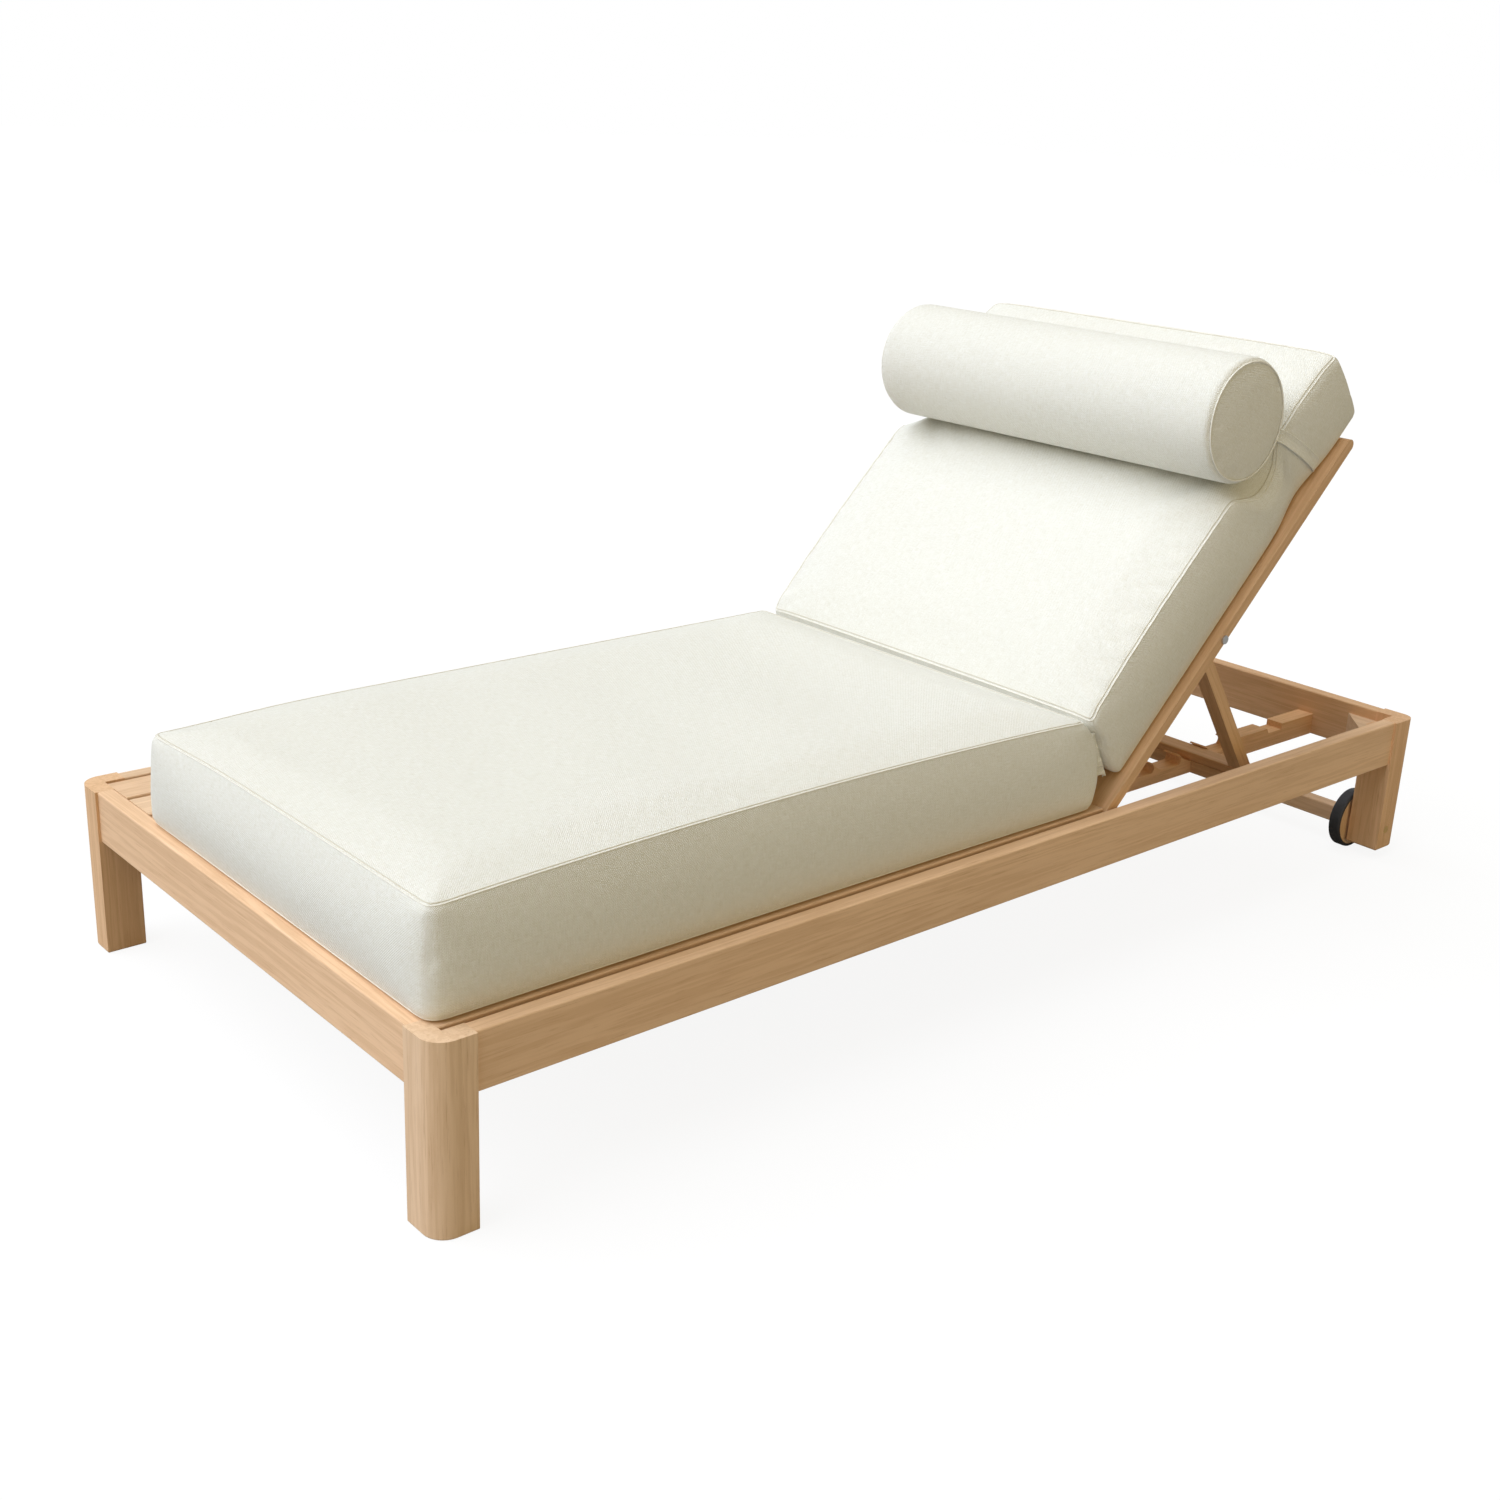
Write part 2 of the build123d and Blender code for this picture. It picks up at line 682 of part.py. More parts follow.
def prop_leg(label, side):
    """A prop leg: round at the pivot, cut level where it stands on the foot bar."""
    low_x = bay_x + min(side * prop_in, side * prop_out)
    with BuildPart() as piece:
        with BuildSketch(prop_plane(low_x)):
            with Locations((prop_length / 2, 0)):
                SlotOverall(prop_length + prop_leg_deep, prop_leg_deep)
            with Locations((prop_length, 0)):
                Rectangle(prop_leg_deep, prop_leg_deep)
        extrude(amount=prop_leg_thick)
        with BuildSketch(Plane.XY.offset(prop_bar_top)):
            with Locations((low_x + prop_leg_thick / 2, prop_bar_mid_y)):
                Rectangle(2 * prop_leg_thick, 2 * prop_bar_wide)
        extrude(amount=-prop_length, mode=Mode.SUBTRACT)
        with BuildSketch(prop_plane(low_x)):
            Circle(pin_radius + running_fit)
        extrude(amount=prop_leg_thick, mode=Mode.SUBTRACT)
    finish(piece, label)


def prop():
    """The U-shaped prop: two legs on a foot bar that drops into the racks."""
    prop_leg("prop_leg_left", 1)
    prop_leg("prop_leg_right", -1)
    low = (bay_x - prop_out, prop_bar_far_edge - prop_bar_wide, prop_bar_low)
    high = (bay_x + prop_out, prop_bar_far_edge, prop_bar_top)
    board("prop_foot_bar", low, high, Axis.X)


def mattress():
    """The seat mattress: crowned top, bowed sides, an end shaped to the back cushion."""
    low_z = frame_top + mattress_gap
    edge_z = low_z + mattress_edge_high
    top_z = edge_z + mattress_crown
    mid_x = (mattress_low_x + mattress_high_x) / 2
    mid_y = (mattress_foot_y + mattress_head_y) / 2
    mid_z = (low_z + edge_z) / 2
    cut_y = mattress_head_y - mattress_end_cut
    cut_z = edge_z - mattress_end_cut_high
    with BuildPart() as piece:
        with BuildSketch(side_plane(mattress_low_x)):
            with BuildLine():
                Line((mattress_foot_y, low_z), (mattress_head_y - mattress_end_lean, low_z))
                Line((mattress_head_y - mattress_end_lean, low_z), (mattress_head_y, cut_z))
                Line((mattress_head_y, cut_z), (cut_y, edge_z))
                ThreePointArc((cut_y, edge_z), (mid_y, top_z), (mattress_foot_y, edge_z))
                ThreePointArc((mattress_foot_y, edge_z), (mattress_foot_y - mattress_side_bulge, mid_z),
                              (mattress_foot_y, low_z))
            make_face()
        extrude(amount=mattress_high_x - mattress_low_x)
        with BuildSketch(Plane.XZ.offset(-half_length)):
            with BuildLine():
                Line((mattress_low_x + mattress_side_bulge, low_z),
                     (mattress_high_x - mattress_side_bulge, low_z))
                ThreePointArc((mattress_high_x - mattress_side_bulge, low_z), (mattress_high_x, mid_z),
                              (mattress_high_x - mattress_side_bulge, edge_z))
                ThreePointArc((mattress_high_x - mattress_side_bulge, edge_z), (mid_x, top_z),
                              (mattress_low_x + mattress_side_bulge, edge_z))
                ThreePointArc((mattress_low_x + mattress_side_bulge, edge_z), (mattress_low_x, mid_z),
                              (mattress_low_x + mattress_side_bulge, low_z))
            make_face()
        extrude(amount=length + half_length, both=False, mode=Mode.INTERSECT)
        with BuildSketch(Plane.XY.offset(low_z)):
            with BuildLine():
                plan_outline(mattress_low_x, mattress_high_x,
                             mattress_foot_y - mattress_side_bulge, mattress_head_y,
                             mattress_corner_radius, mattress_plan_draw)
            make_face()
        extrude(amount=mattress_edge_high + mattress_crown, mode=Mode.INTERSECT)
    finish(piece, "seat_mattress")


def plan_outline(low_x, high_x, low_y, high_y, corner, draw):
    """A rectangle with arcs at its corners and sides drawn in a little between them."""
    mid_x = (low_x + high_x) / 2
    mid_y = (low_y + high_y) / 2
    ThreePointArc((low_x + corner, low_y), (mid_x, low_y + draw), (high_x - corner, low_y))
    RadiusArc((high_x - corner, low_y), (high_x, low_y + corner), -corner)
    ThreePointArc((high_x, low_y + corner), (high_x - draw, mid_y), (high_x, high_y - corner))
    RadiusArc((high_x, high_y - corner), (high_x - corner, high_y), -corner)
    ThreePointArc((high_x - corner, high_y), (mid_x, high_y - draw), (low_x + corner, high_y))
    RadiusArc((low_x + corner, high_y), (low_x, high_y - corner), -corner)
    ThreePointArc((low_x, high_y - corner), (low_x + draw, mid_y), (low_x, low_y + corner))
    RadiusArc((low_x, low_y + corner), (low_x + corner, low_y), -corner)


def back_cushion_outline():
    """Side view of the back cushion: a bowed panel, a waist under the bolster and a head end."""
    base = back_front + cushion_gap
    front = base + back_cushion_deep
    waist = base + waist_deep
    head = base + head_deep
    start = (back_cushion_start, base)
    shoulder = (back_cushion_start + back_cushion_slant / 2, front - cushion_corner)
    lead = (back_cushion_start + back_cushion_slant + cushion_corner, front)
    lead_mid = (back_cushion_start + back_cushion_slant, front - cushion_corner / 4)
    panel_end = (back_panel_end, front)
    panel_mid = ((lead[0] + back_panel_end) / 2, front + back_cushion_bulge)
    valley = (waist_along, waist)
    fall = ((back_panel_end + waist_along) / 2, waist + (front - waist) / 4)
    rise = ((waist_along + head_start) / 2, waist + (head - waist) / 4)
    nape = (head_start, head)
    brow = (head_end - cushion_corner, head)
    brow_mid = ((nape[0] + brow[0]) / 2, head + head_bulge)
    crown = (head_end, head - cushion_corner)
    crown_mid = (head_end - cushion_corner / 4, head - cushion_corner / 4)
    Line(start, shoulder)
    ThreePointArc(shoulder, lead_mid, lead)
    ThreePointArc(lead, panel_mid, panel_end)
    ThreePointArc(panel_end, fall, valley)
    ThreePointArc(valley, rise, nape)
    ThreePointArc(nape, brow_mid, brow)
    ThreePointArc(brow, crown_mid, crown)
    groove = base + strap_thick + cushion_gap
    groove_high = strap_start + strap_wide + cushion_gap
    groove_low = strap_start - cushion_gap
    Polyline(crown, (head_end - head_slant, base), (groove_high, base), (groove_high, groove),
             (groove_low, groove), (groove_low, base), start)


def back_cushion():
    """The back cushion, drawn in at the waist where the bolster's strap goes round it."""
    low_x = bay_x - back_cushion_half
    high_x = bay_x + back_cushion_half
    depth = back_cushion_deep + back_cushion_bulge + cushion_gap + back_front
    over = slope_point(0, 0, 0)
    plan = Plane(origin=over, x_dir=(1, 0, 0), z_dir=(0, -slope_z, slope_y))
    with BuildPart() as piece:
        with BuildSketch(slope_plane(low_x)):
            with BuildLine():
                back_cushion_outline()
            make_face()
        extrude(amount=high_x - low_x)
        with BuildSketch(plan):
            with BuildLine():
                waist_plan(low_x, high_x)
            make_face()
        extrude(amount=depth, mode=Mode.INTERSECT)
    finish(piece, "back_cushion")


def waist_plan(low_x, high_x):
    """Outline seen from the front: round corners and sides drawn in at the waist."""
    low_s = back_cushion_start
    corner = cushion_corner
    low_waist = waist_along - waist_reach
    high_waist = waist_along + waist_reach
    in_low = low_x + waist_draw
    in_high = high_x - waist_draw
    Line((low_x + corner, low_s), (high_x - corner, low_s))
    RadiusArc((high_x - corner, low_s), (high_x, low_s + corner), -corner)
    Line((high_x, low_s + corner), (high_x, low_waist))
    ThreePointArc((high_x, low_waist), (in_high, waist_along), (high_x, high_waist))
    Line((high_x, high_waist), (high_x, head_end - corner))
    RadiusArc((high_x, head_end - corner), (high_x - corner, head_end), -corner)
    Line((high_x - corner, head_end), (low_x + corner, head_end))
    RadiusArc((low_x + corner, head_end), (low_x, head_end - corner), -corner)
    Line((low_x, head_end - corner), (low_x, high_waist))
    ThreePointArc((low_x, high_waist), (in_low, waist_along), (low_x, low_waist))
    Line((low_x, low_waist), (low_x, low_s + corner))
    RadiusArc((low_x, low_s + corner), (low_x + corner, low_s), -corner)


def bolster_and_strap():
    """The bolster with its domed ends, and the strap that holds it to the cushion."""
    half = (bolster_high_x - bolster_low_x) / 2
    base = back_front + cushion_gap
    out = base + waist_deep + cushion_gap + bolster_radius
    middle = slope_point((bolster_low_x + bolster_high_x) / 2, waist_along, out)
    plane = Plane(origin=middle, x_dir=(1, 0, 0), z_dir=(0, -slope_z, slope_y))
    with BuildPart() as bolster:
        with BuildSketch(plane):
            with BuildLine():
                Polyline((half, 0), (-half, 0))
                for side in (-1, 1):
                    dome = side * (half - bolster_dome)
                    flank = side * (half - bolster_dome - bolster_edge)
                    rim = side * (half - bolster_dome / 4)
                    Line((side * half, 0), (rim, bolster_radius / 2))
                    Line((rim, bolster_radius / 2), (dome, bolster_radius - bolster_edge))
                    RadiusArc((dome, bolster_radius - bolster_edge), (flank, bolster_radius),
                              -side * bolster_edge)
                Line((bolster_dome + bolster_edge - half, bolster_radius),
                     (half - bolster_dome - bolster_edge, bolster_radius))
            make_face()
        revolve(axis=Axis(middle, (1, 0, 0)))
    finish(bolster, "bolster")
    deep = head_deep + strap_over + strap_thick
    wide = 2 * (back_cushion_half - waist_draw + strap_thick + strap_ease)
    loop = Plane(origin=slope_point(bay_x, strap_start, base + deep / 2), x_dir=(1, 0, 0),
                 z_dir=(0, slope_y, slope_z))
    with BuildPart() as strap:
        with BuildSketch(loop):
            Rectangle(wide, deep)
            Rectangle(wide - 2 * strap_thick, deep - 2 * strap_thick, mode=Mode.SUBTRACT)
        extrude(amount=strap_wide)
    finish(strap, "bolster_strap")


foot_size = (foot_leg_x, foot_leg_y)
head_size = (head_leg_x, head_leg_y)
leg("foot_leg_left", 1, -1, foot_size, foot_corner_radius, 0)
leg("foot_leg_right", -1, -1, foot_size, foot_corner_radius, 0)
leg("head_leg_left", 1, 1, head_size, head_corner_radius, head_leg_lift)
leg("head_leg_right", -1, 1, head_size, head_corner_radius, head_leg_lift)
side_rail("side_rail_left", 1)
side_rail("side_rail_right", -1)
end_rail("foot_rail", -1, foot_leg_in_x)
end_rail("head_rail", 1, head_leg_in_x)
shelf_rail()
deck()
bearers()
cross_rails()
rack("rack_left", 1)
rack("rack_right", -1)
corner_blocks()
corner_bolts()
axle()
wheel("left", 1)
wheel("right", -1)
back_stile("back_stile_left", 1)
back_stile("back_stile_right", -1)
backrest()
hinge_pins()
prop_bolts()
prop()
mattress()
back_cushion()
bolster_and_strap()
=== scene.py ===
"""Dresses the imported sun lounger: sanded wood, woven cushions, rubber, brass and steel."""
import logging
from dataclasses import dataclass, field
from enum import Enum
from math import cos, pi, radians, sin
from typing import Dict, Optional, Sequence, Tuple, Union

import bpy
import numpy as np
from mathutils import Matrix, Vector
from mathutils.bvhtree import BVHTree


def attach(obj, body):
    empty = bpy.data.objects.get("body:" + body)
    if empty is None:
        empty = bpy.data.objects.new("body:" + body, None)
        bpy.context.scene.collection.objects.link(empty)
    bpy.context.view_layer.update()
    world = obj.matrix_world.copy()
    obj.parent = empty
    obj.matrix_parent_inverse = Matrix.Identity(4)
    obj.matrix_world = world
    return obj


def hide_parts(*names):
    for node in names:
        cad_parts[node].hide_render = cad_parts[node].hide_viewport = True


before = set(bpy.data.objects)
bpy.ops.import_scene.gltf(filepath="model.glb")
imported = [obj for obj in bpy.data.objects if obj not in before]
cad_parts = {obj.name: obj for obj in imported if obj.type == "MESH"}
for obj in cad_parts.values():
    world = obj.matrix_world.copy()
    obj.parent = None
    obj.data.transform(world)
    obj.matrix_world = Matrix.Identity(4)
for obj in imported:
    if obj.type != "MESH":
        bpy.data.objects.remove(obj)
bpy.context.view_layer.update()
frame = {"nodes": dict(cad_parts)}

log = logging.getLogger("lounger")
MM = 0.001
HINGE = (191.5, 248.6)  # the hinge pins' place along and up, in millimetres
BAY_X = 88.15  # the middle of the cushions' width, in millimetres


# Shader sockets

Value = Union["Socket", float, Sequence[float]]


class Socket:
    """An output of a shader node that can be used in sums.

    Numbers go through Math nodes. Colours are mixed with Mix nodes, and vectors with Vector Math.
    """

    def __init__(self, tree: bpy.types.NodeTree, out: bpy.types.NodeSocket) -> None:
        """Wraps one output of a node in a tree."""
        self.tree = tree
        self.out = out

    @classmethod
    def make(cls, tree: bpy.types.NodeTree, kind: str, output: Union[int, str] = 0,
             inputs: Optional[Dict[Union[int, str], Value]] = None, **settings: object) -> "Socket":
        """Adds a node and returns one of its outputs.

        Args:
            tree: the material's node tree.
            kind: the node's type name after "ShaderNode".
            output: which output to return.
            inputs: values or sockets, by input name or number.
            settings: properties of the node.

        Returns:
            The chosen output, wrapped.
        """
        node = tree.nodes.new("ShaderNode" + kind)
        for name, value in settings.items():
            setattr(node, name, value)
        for key, value in (inputs or {}).items():
            cls.feed(node.inputs[key], value)
        return cls(tree, node.outputs[output])

    @staticmethod
    def feed(target: bpy.types.NodeSocket, value: Value) -> None:
        """Links a socket to an input, or sets the input to a constant.

        Args:
            target: the input to fill.
            value: a socket, a number or a colour.
        """
        if isinstance(value, Socket):
            value.tree.links.new(value.out, target)
        else:
            target.default_value = value

    def math(self, operation: str, other: Value = 0.0, swap: bool = False) -> "Socket":
        """A Math node on this value and another one."""
        first, second = (other, self) if swap else (self, other)
        return Socket.make(self.tree, "Math", 0, {0: first, 1: second}, operation=operation)

    def __add__(self, other: Value) -> "Socket":
        """This value plus another."""
        return self.math("ADD", other)

    def __radd__(self, other: Value) -> "Socket":
        """Another value plus this one."""
        return self.math("ADD", other, True)

    def __sub__(self, other: Value) -> "Socket":
        """This value minus another."""
        return self.math("SUBTRACT", other)

    def __rsub__(self, other: Value) -> "Socket":
        """Another value minus this one."""
        return self.math("SUBTRACT", other, True)

    def __mul__(self, other: Value) -> "Socket":
        """This value times another."""
        return self.math("MULTIPLY", other)

    def __rmul__(self, other: Value) -> "Socket":
        """Another value times this one."""
        return self.math("MULTIPLY", other, True)

    def sine(self) -> "Socket":
        """The sine of this value in radians."""
        return self.math("SINE")

    def clamp(self) -> "Socket":
        """This value kept between 0 and 1."""
        return Socket.make(self.tree, "Clamp", 0, {0: self})

    def scaled(self, size: Sequence[float], shift: Sequence[float] = (0, 0, 0)) -> "Socket":
        """This vector times one vector, plus another."""
        times = Socket.make(self.tree, "VectorMath", 0, {0: self, 1: size}, operation="MULTIPLY")
        return Socket.make(self.tree, "VectorMath", 0, {0: times, 1: shift}, operation="ADD")

    def part(self, axis: int) -> "Socket":
        """One component of this vector."""
        return Socket.make(self.tree, "SeparateXYZ", axis, {0: self})

    def mix(self, first: Value, second: Value) -> "Socket":
        """The first colour at 0 and the second at 1, by this factor."""
        return Socket.blend(self.tree, self, first, second)

    @staticmethod
    def blend(tree: bpy.types.NodeTree, factor: Value, first: Value, second: Value) -> "Socket":
        """Two colours mixed by a factor, which may be a constant."""
        return Socket.make(tree, "Mix", 2, {0: factor, 6: first, 7: second}, data_type="RGBA",
                           clamp_factor=True)

    def noise(self, scale: float, detail: float = 2.0, rough: float = 0.5) -> "Socket":
        """Noise sampled at this vector."""
        values = {"Vector": self, "Scale": scale, "Detail": detail, "Roughness": rough}
        return Socket.make(self.tree, "TexNoise", 0, values)


class Coordinates(Enum):
    """Where a material's pattern is read."""

    OBJECT = 3
    UV = 2

    def of(self, shader: bpy.types.Node) -> Socket:
        """The coordinates beside a shader, in metres."""
        return Socket.make(shader.id_data, "TexCoord", self.value)


Colour = Tuple[float, float, float, float]


def colour(red: float, green: float, blue: float) -> Colour:
    """A linear colour with full alpha."""
    return (red, green, blue, 1.0)


def tinted(tone: Colour, *ratios: float) -> Colour:
    """A colour whose red, green and blue are multiplied, up to 1."""
    return colour(*(min(1.0, part * ratio) for part, ratio in zip(tone, ratios)))


# Finishes

@dataclass(frozen=True)
class Finish:
    """A material, with its base values; each kind paints its own pattern."""

    name: str
    tone: Colour
    rough: float = 0.6
    metal: float = 0.0

    def build(self) -> bpy.types.Material:
        """Makes the material, unless it is made already.

        Returns:
            The material.
        """
        made = bpy.data.materials.get(self.name)
        if made is not None:
            return made
        material = bpy.data.materials.new(self.name)
        material.use_nodes = True
        shader = material.node_tree.nodes["Principled BSDF"]
        shader.inputs["Base Color"].default_value = self.tone
        shader.inputs["Roughness"].default_value = self.rough
        shader.inputs["Metallic"].default_value = self.metal
        self.paint(shader)
        return material

    def paint(self, shader: bpy.types.Node) -> None:
        """Adds the pattern. A plain finish has none."""

    @staticmethod
    def bump(shader: bpy.types.Node, height: Socket, metres: float) -> None:
        """Feeds a height into the shader's normal."""
        values = {"Height": height, "Distance": metres, "Strength": 1.0}
        Socket.feed(shader.inputs["Normal"], Socket.make(height.tree, "Bump", 0, values))


@dataclass(frozen=True)
class Wood(Finish):
    """Pale, close-grained timber, sanded and left bare, with its grain along one axis."""

    grain: Tuple[float, float, float] = (0.0, 1.0, 0.0)
    shift: float = 0.0
    depth: float = 1.0

    def paint(self, shader: bpy.types.Node) -> None:
        """Fine lines, broad bands and a few darker pores, all stretched along the grain.

        Args:
            shader: the material's Principled node.
        """
        place = Coordinates.OBJECT.of(shader)
        along = Vector(self.grain).normalized()
        turn = along.rotation_difference(Vector((0, 1, 0))).to_euler()
        turned = Socket.make(place.tree, "Mapping", 0, {"Vector": place, "Rotation": turn[:]})
        stretched = turned.scaled((1.0, 0.035, 1.0), (self.shift, self.shift * 0.37, -self.shift))
        warp = stretched.noise(16.0, 2.0)
        fine = stretched.noise(520.0, 5.0, 0.62)
        bands = stretched.noise(46.0, 4.0, 0.6)
        broad = turned.scaled((1.0, 0.12, 1.0), (self.shift, 0, self.shift)).noise(9.0, 2.0)
        rings = ((bands * 5.0 + warp * 9.0) * (2 * pi)).sine() * 0.5 + 0.5
        pale = tinted(self.tone, 1.09, 1.09, 1.09)
        dark = tinted(self.tone, 0.83, 0.77, 0.68)
        deep = tinted(self.tone, 0.66, 0.55, 0.43)
        base = ((broad - 0.5) * 2.2 * self.depth + 0.5).clamp().mix(pale, self.tone)
        lined = (rings * 0.34 * self.depth).mix(base, dark)
        pores = ((fine - 0.56) * 5.0).clamp()
        toned = (pores * 0.42 * self.depth).mix(lined, deep)
        Socket.feed(shader.inputs["Base Color"], toned)
        shader.inputs["Specular IOR Level"].default_value = 0.3
        Socket.feed(shader.inputs["Roughness"], self.rough + (fine - 0.5) * 0.16)
        self.bump(shader, pores * -1.0 + rings * 0.12, 0.00022)


@dataclass(frozen=True)
class Weave(Finish):
    """A heavy basket weave with slubs, on the piece's UV map in metres."""

    thread: float = 0.0034
    depth: float = 1.0

    def paint(self, shader: bpy.types.Node) -> None:
        """Threads cross as sin(u) times sin(v), and slubs are noise stretched both ways.

        Args:
            shader: the material's Principled node.
        """
        place = Coordinates.UV.of(shader)
        wander = place.noise(90.0, 2.0)
        turn = 2 * pi / self.thread
        across = (place.part(0) * turn + wander * 2.4).sine()
        along = (place.part(1) * turn + wander * 2.4).sine()
        basket = across * along * 0.5 + 0.5
        slub_u = place.scaled((1.0, 14.0, 1.0)).noise(70.0, 3.0, 0.6)
        slub_v = place.scaled((14.0, 1.0, 1.0), (0.3, 0.1, 0)).noise(70.0, 3.0, 0.6)
        cloud = place.noise(6.0, 3.0)
        dark = tinted(self.tone, 0.80, 0.775, 0.70)
        mottled = tinted(self.tone, 0.93, 0.92, 0.885)
        level = basket * 0.42 + (slub_u + slub_v - 1.0) * 1.5 * self.depth + 0.14
        woven = level.clamp().mix(self.tone, dark)
        toned = ((cloud - 0.45) * 1.4).clamp().mix(woven, mottled)
        soft = Socket.blend(place.tree, 0.55 * self.depth, woven, toned)
        Socket.feed(shader.inputs["Base Color"], soft)
        shader.inputs["Specular IOR Level"].default_value = 0.15
        shader.inputs["Sheen Weight"].default_value = 0.06
        shader.inputs["Sheen Roughness"].default_value = 0.5
        height = basket + (slub_u + slub_v) * 0.8
        self.bump(shader, height, 0.00055 * self.depth)


@dataclass(frozen=True)
class Rubber(Finish):
    """Dark matt rubber, a little dusty."""

    def paint(self, shader: bpy.types.Node) -> None:
        """Faint dust as noise between two greys.

        Args:
            shader: the material's Principled node.
        """
        place = Coordinates.OBJECT.of(shader)
        dust = place.noise(160.0, 4.0, 0.6)
        pale = tinted(self.tone, 1.7, 1.7, 1.7)
        dusted = ((dust - 0.4) * 1.8).clamp().mix(self.tone, pale)
        Socket.feed(shader.inputs["Base Color"], dusted)
        self.bump(shader, dust, 0.00025)


@dataclass(frozen=True)
class Metal(Finish):
    """Turned metal with fine marks."""

    def paint(self, shader: bpy.types.Node) -> None:
        """Roughness varies with fine noise.

        Args:
            shader: the material's Principled node.
        """
        place = Coordinates.OBJECT.of(shader)
        marks = place.noise(900.0, 3.0)
        Socket.feed(shader.inputs["Roughness"], self.rough + (marks - 0.5) * 0.2)


IVORY = Weave("ivory_weave", colour(0.88, 0.88, 0.835), 0.92)
# Painted shade: a darker ivory for the thin cord just inside each top seam, standing in for the
# shade in the seam's groove.
SHADE = Weave("ivory_painted_seam_shade", colour(0.70, 0.67, 0.585), 0.92, thread=0.0026, depth=0.4)
# Real seam cords and piping, in an ivory a little lighter than the cloth, which also paints a
# highlight along the seams.
IVORY_LIT_CORD = Weave("ivory_cord_highlight", colour(0.90, 0.885, 0.83), 0.92, thread=0.0026, depth=0.4)
TYRE = Rubber("tyre_rubber", colour(0.018, 0.02, 0.024), 0.62)
BRASS = Metal("axle_brass", colour(0.72, 0.47, 0.17), 0.34, 1.0)
STEEL = Metal("bolt_steel", colour(0.58, 0.57, 0.55), 0.32, 1.0)
TEAK = colour(0.76, 0.53, 0.342)


# The wooden and metal pieces, which keep their CAD meshes

class Grain(Enum):
    """Direction of a board's grain in the object's frame."""

    X = (1.0, 0.0, 0.0)
    Y = (0.0, 1.0, 0.0)
    Z = (0.0, 0.0, 1.0)
    BACK = (0.0, 0.7071, 0.7071)
    PROP = (0.0, 0.572, -0.82)


@dataclass
class Joinery:
    """Puts a finish on every CAD piece that stays in view."""

    nodes: Dict[str, bpy.types.Object]
    special: Dict[str, Finish] = field(default_factory=lambda: {
        "axle_bolts": BRASS, "corner_bolts": STEEL, "hinge_pins": STEEL, "prop_bolts": STEEL,
        "wheel_tyre_left": TYRE, "wheel_tyre_right": TYRE})
    # Pieces that stand in shade, at the head end, under the backrest and on the far side: their
    # wood gets painted shade as a deeper, browner tint.
    shaded_pieces: Tuple[str, ...] = ("rack", "mid_rail", "prop", "head_", "back_stile",
                               "foot_leg_right", "shelf_b")

    def grain_of(self, name: str) -> Grain:
        """Finds the direction in which a board was cut.

        Args:
            name: the piece's node.

        Returns:
            The grain's direction.
        """
        starts = {("foot_leg", "head_leg", "wheel_hub"): Grain.Z,
                  ("prop_leg",): Grain.PROP,
                  ("back_stile", "back_slat"): Grain.BACK,
                  ("deck_slat", "side_rail", "shelf_rail", "rack"): Grain.Y}
        return next((way for parts, way in starts.items() if name.startswith(parts)), Grain.X)

    def tone_of(self, name: str, order: int) -> Colour:
        """Makes each board a little lighter or deeper than the next, by sines of its number. The
        pieces that stand in shade get painted shade: a deeper, browner tint of the teak.

        Args:
            name: the piece's node.
            order: its number in the sorted list.

        Returns:
            The board's colour.
        """
        swing = 0.055 * sin(order * 2.399) + 0.035 * cos(order * 1.13)
        warm = 0.03 * sin(order * 1.7)
        # Painted shade: the shaded pieces take a deeper, browner tint of the teak.
        tone = tinted(TEAK, 0.95, 0.87, 0.77) if name.startswith(self.shaded_pieces) else TEAK
        return tinted(tone, 1 + swing + warm, 1 + swing, 1 + swing - warm)

    def dress(self) -> None:
        """Gives each CAD node its material."""
        for order, (name, node) in enumerate(sorted(self.nodes.items())):
            finish = self.special.get(name) or Wood(
                "wood_" + name, self.tone_of(name, order), 0.58,
                grain=self.grain_of(name).value, shift=order * 0.731, depth=1.45)
            node.data.materials.clear()
            node.data.materials.append(finish.build())
            log.info("%s has finish %s", name, finish.name)


# Meshes

Points = np.ndarray


def lattice(rows: int, cols: int, closed: bool) -> np.ndarray:
    """Lists the cells of a grid of rows, whose columns may run round.

    Args:
        rows: how many rows of cells there are.
        cols: how many columns of vertices there are.
        closed: True if the last column joins the first.

    Returns:
        Cells x 4 x 2: each cell's corners, as row and column, row by row.
    """
    wide = cols if closed else cols - 1
    first = np.stack(np.divmod(np.arange(rows * wide), wide), axis=1)
    return first[:, None] + np.array([(0, 0), (0, 1), (1, 1), (1, 0)])


def numbered(cells: np.ndarray, rows: int, cols: int) -> np.ndarray:
    """The vertex numbers of a lattice's corners, which run on past the last row and column."""
    return (cells[..., 0] % rows) * cols + cells[..., 1] % cols


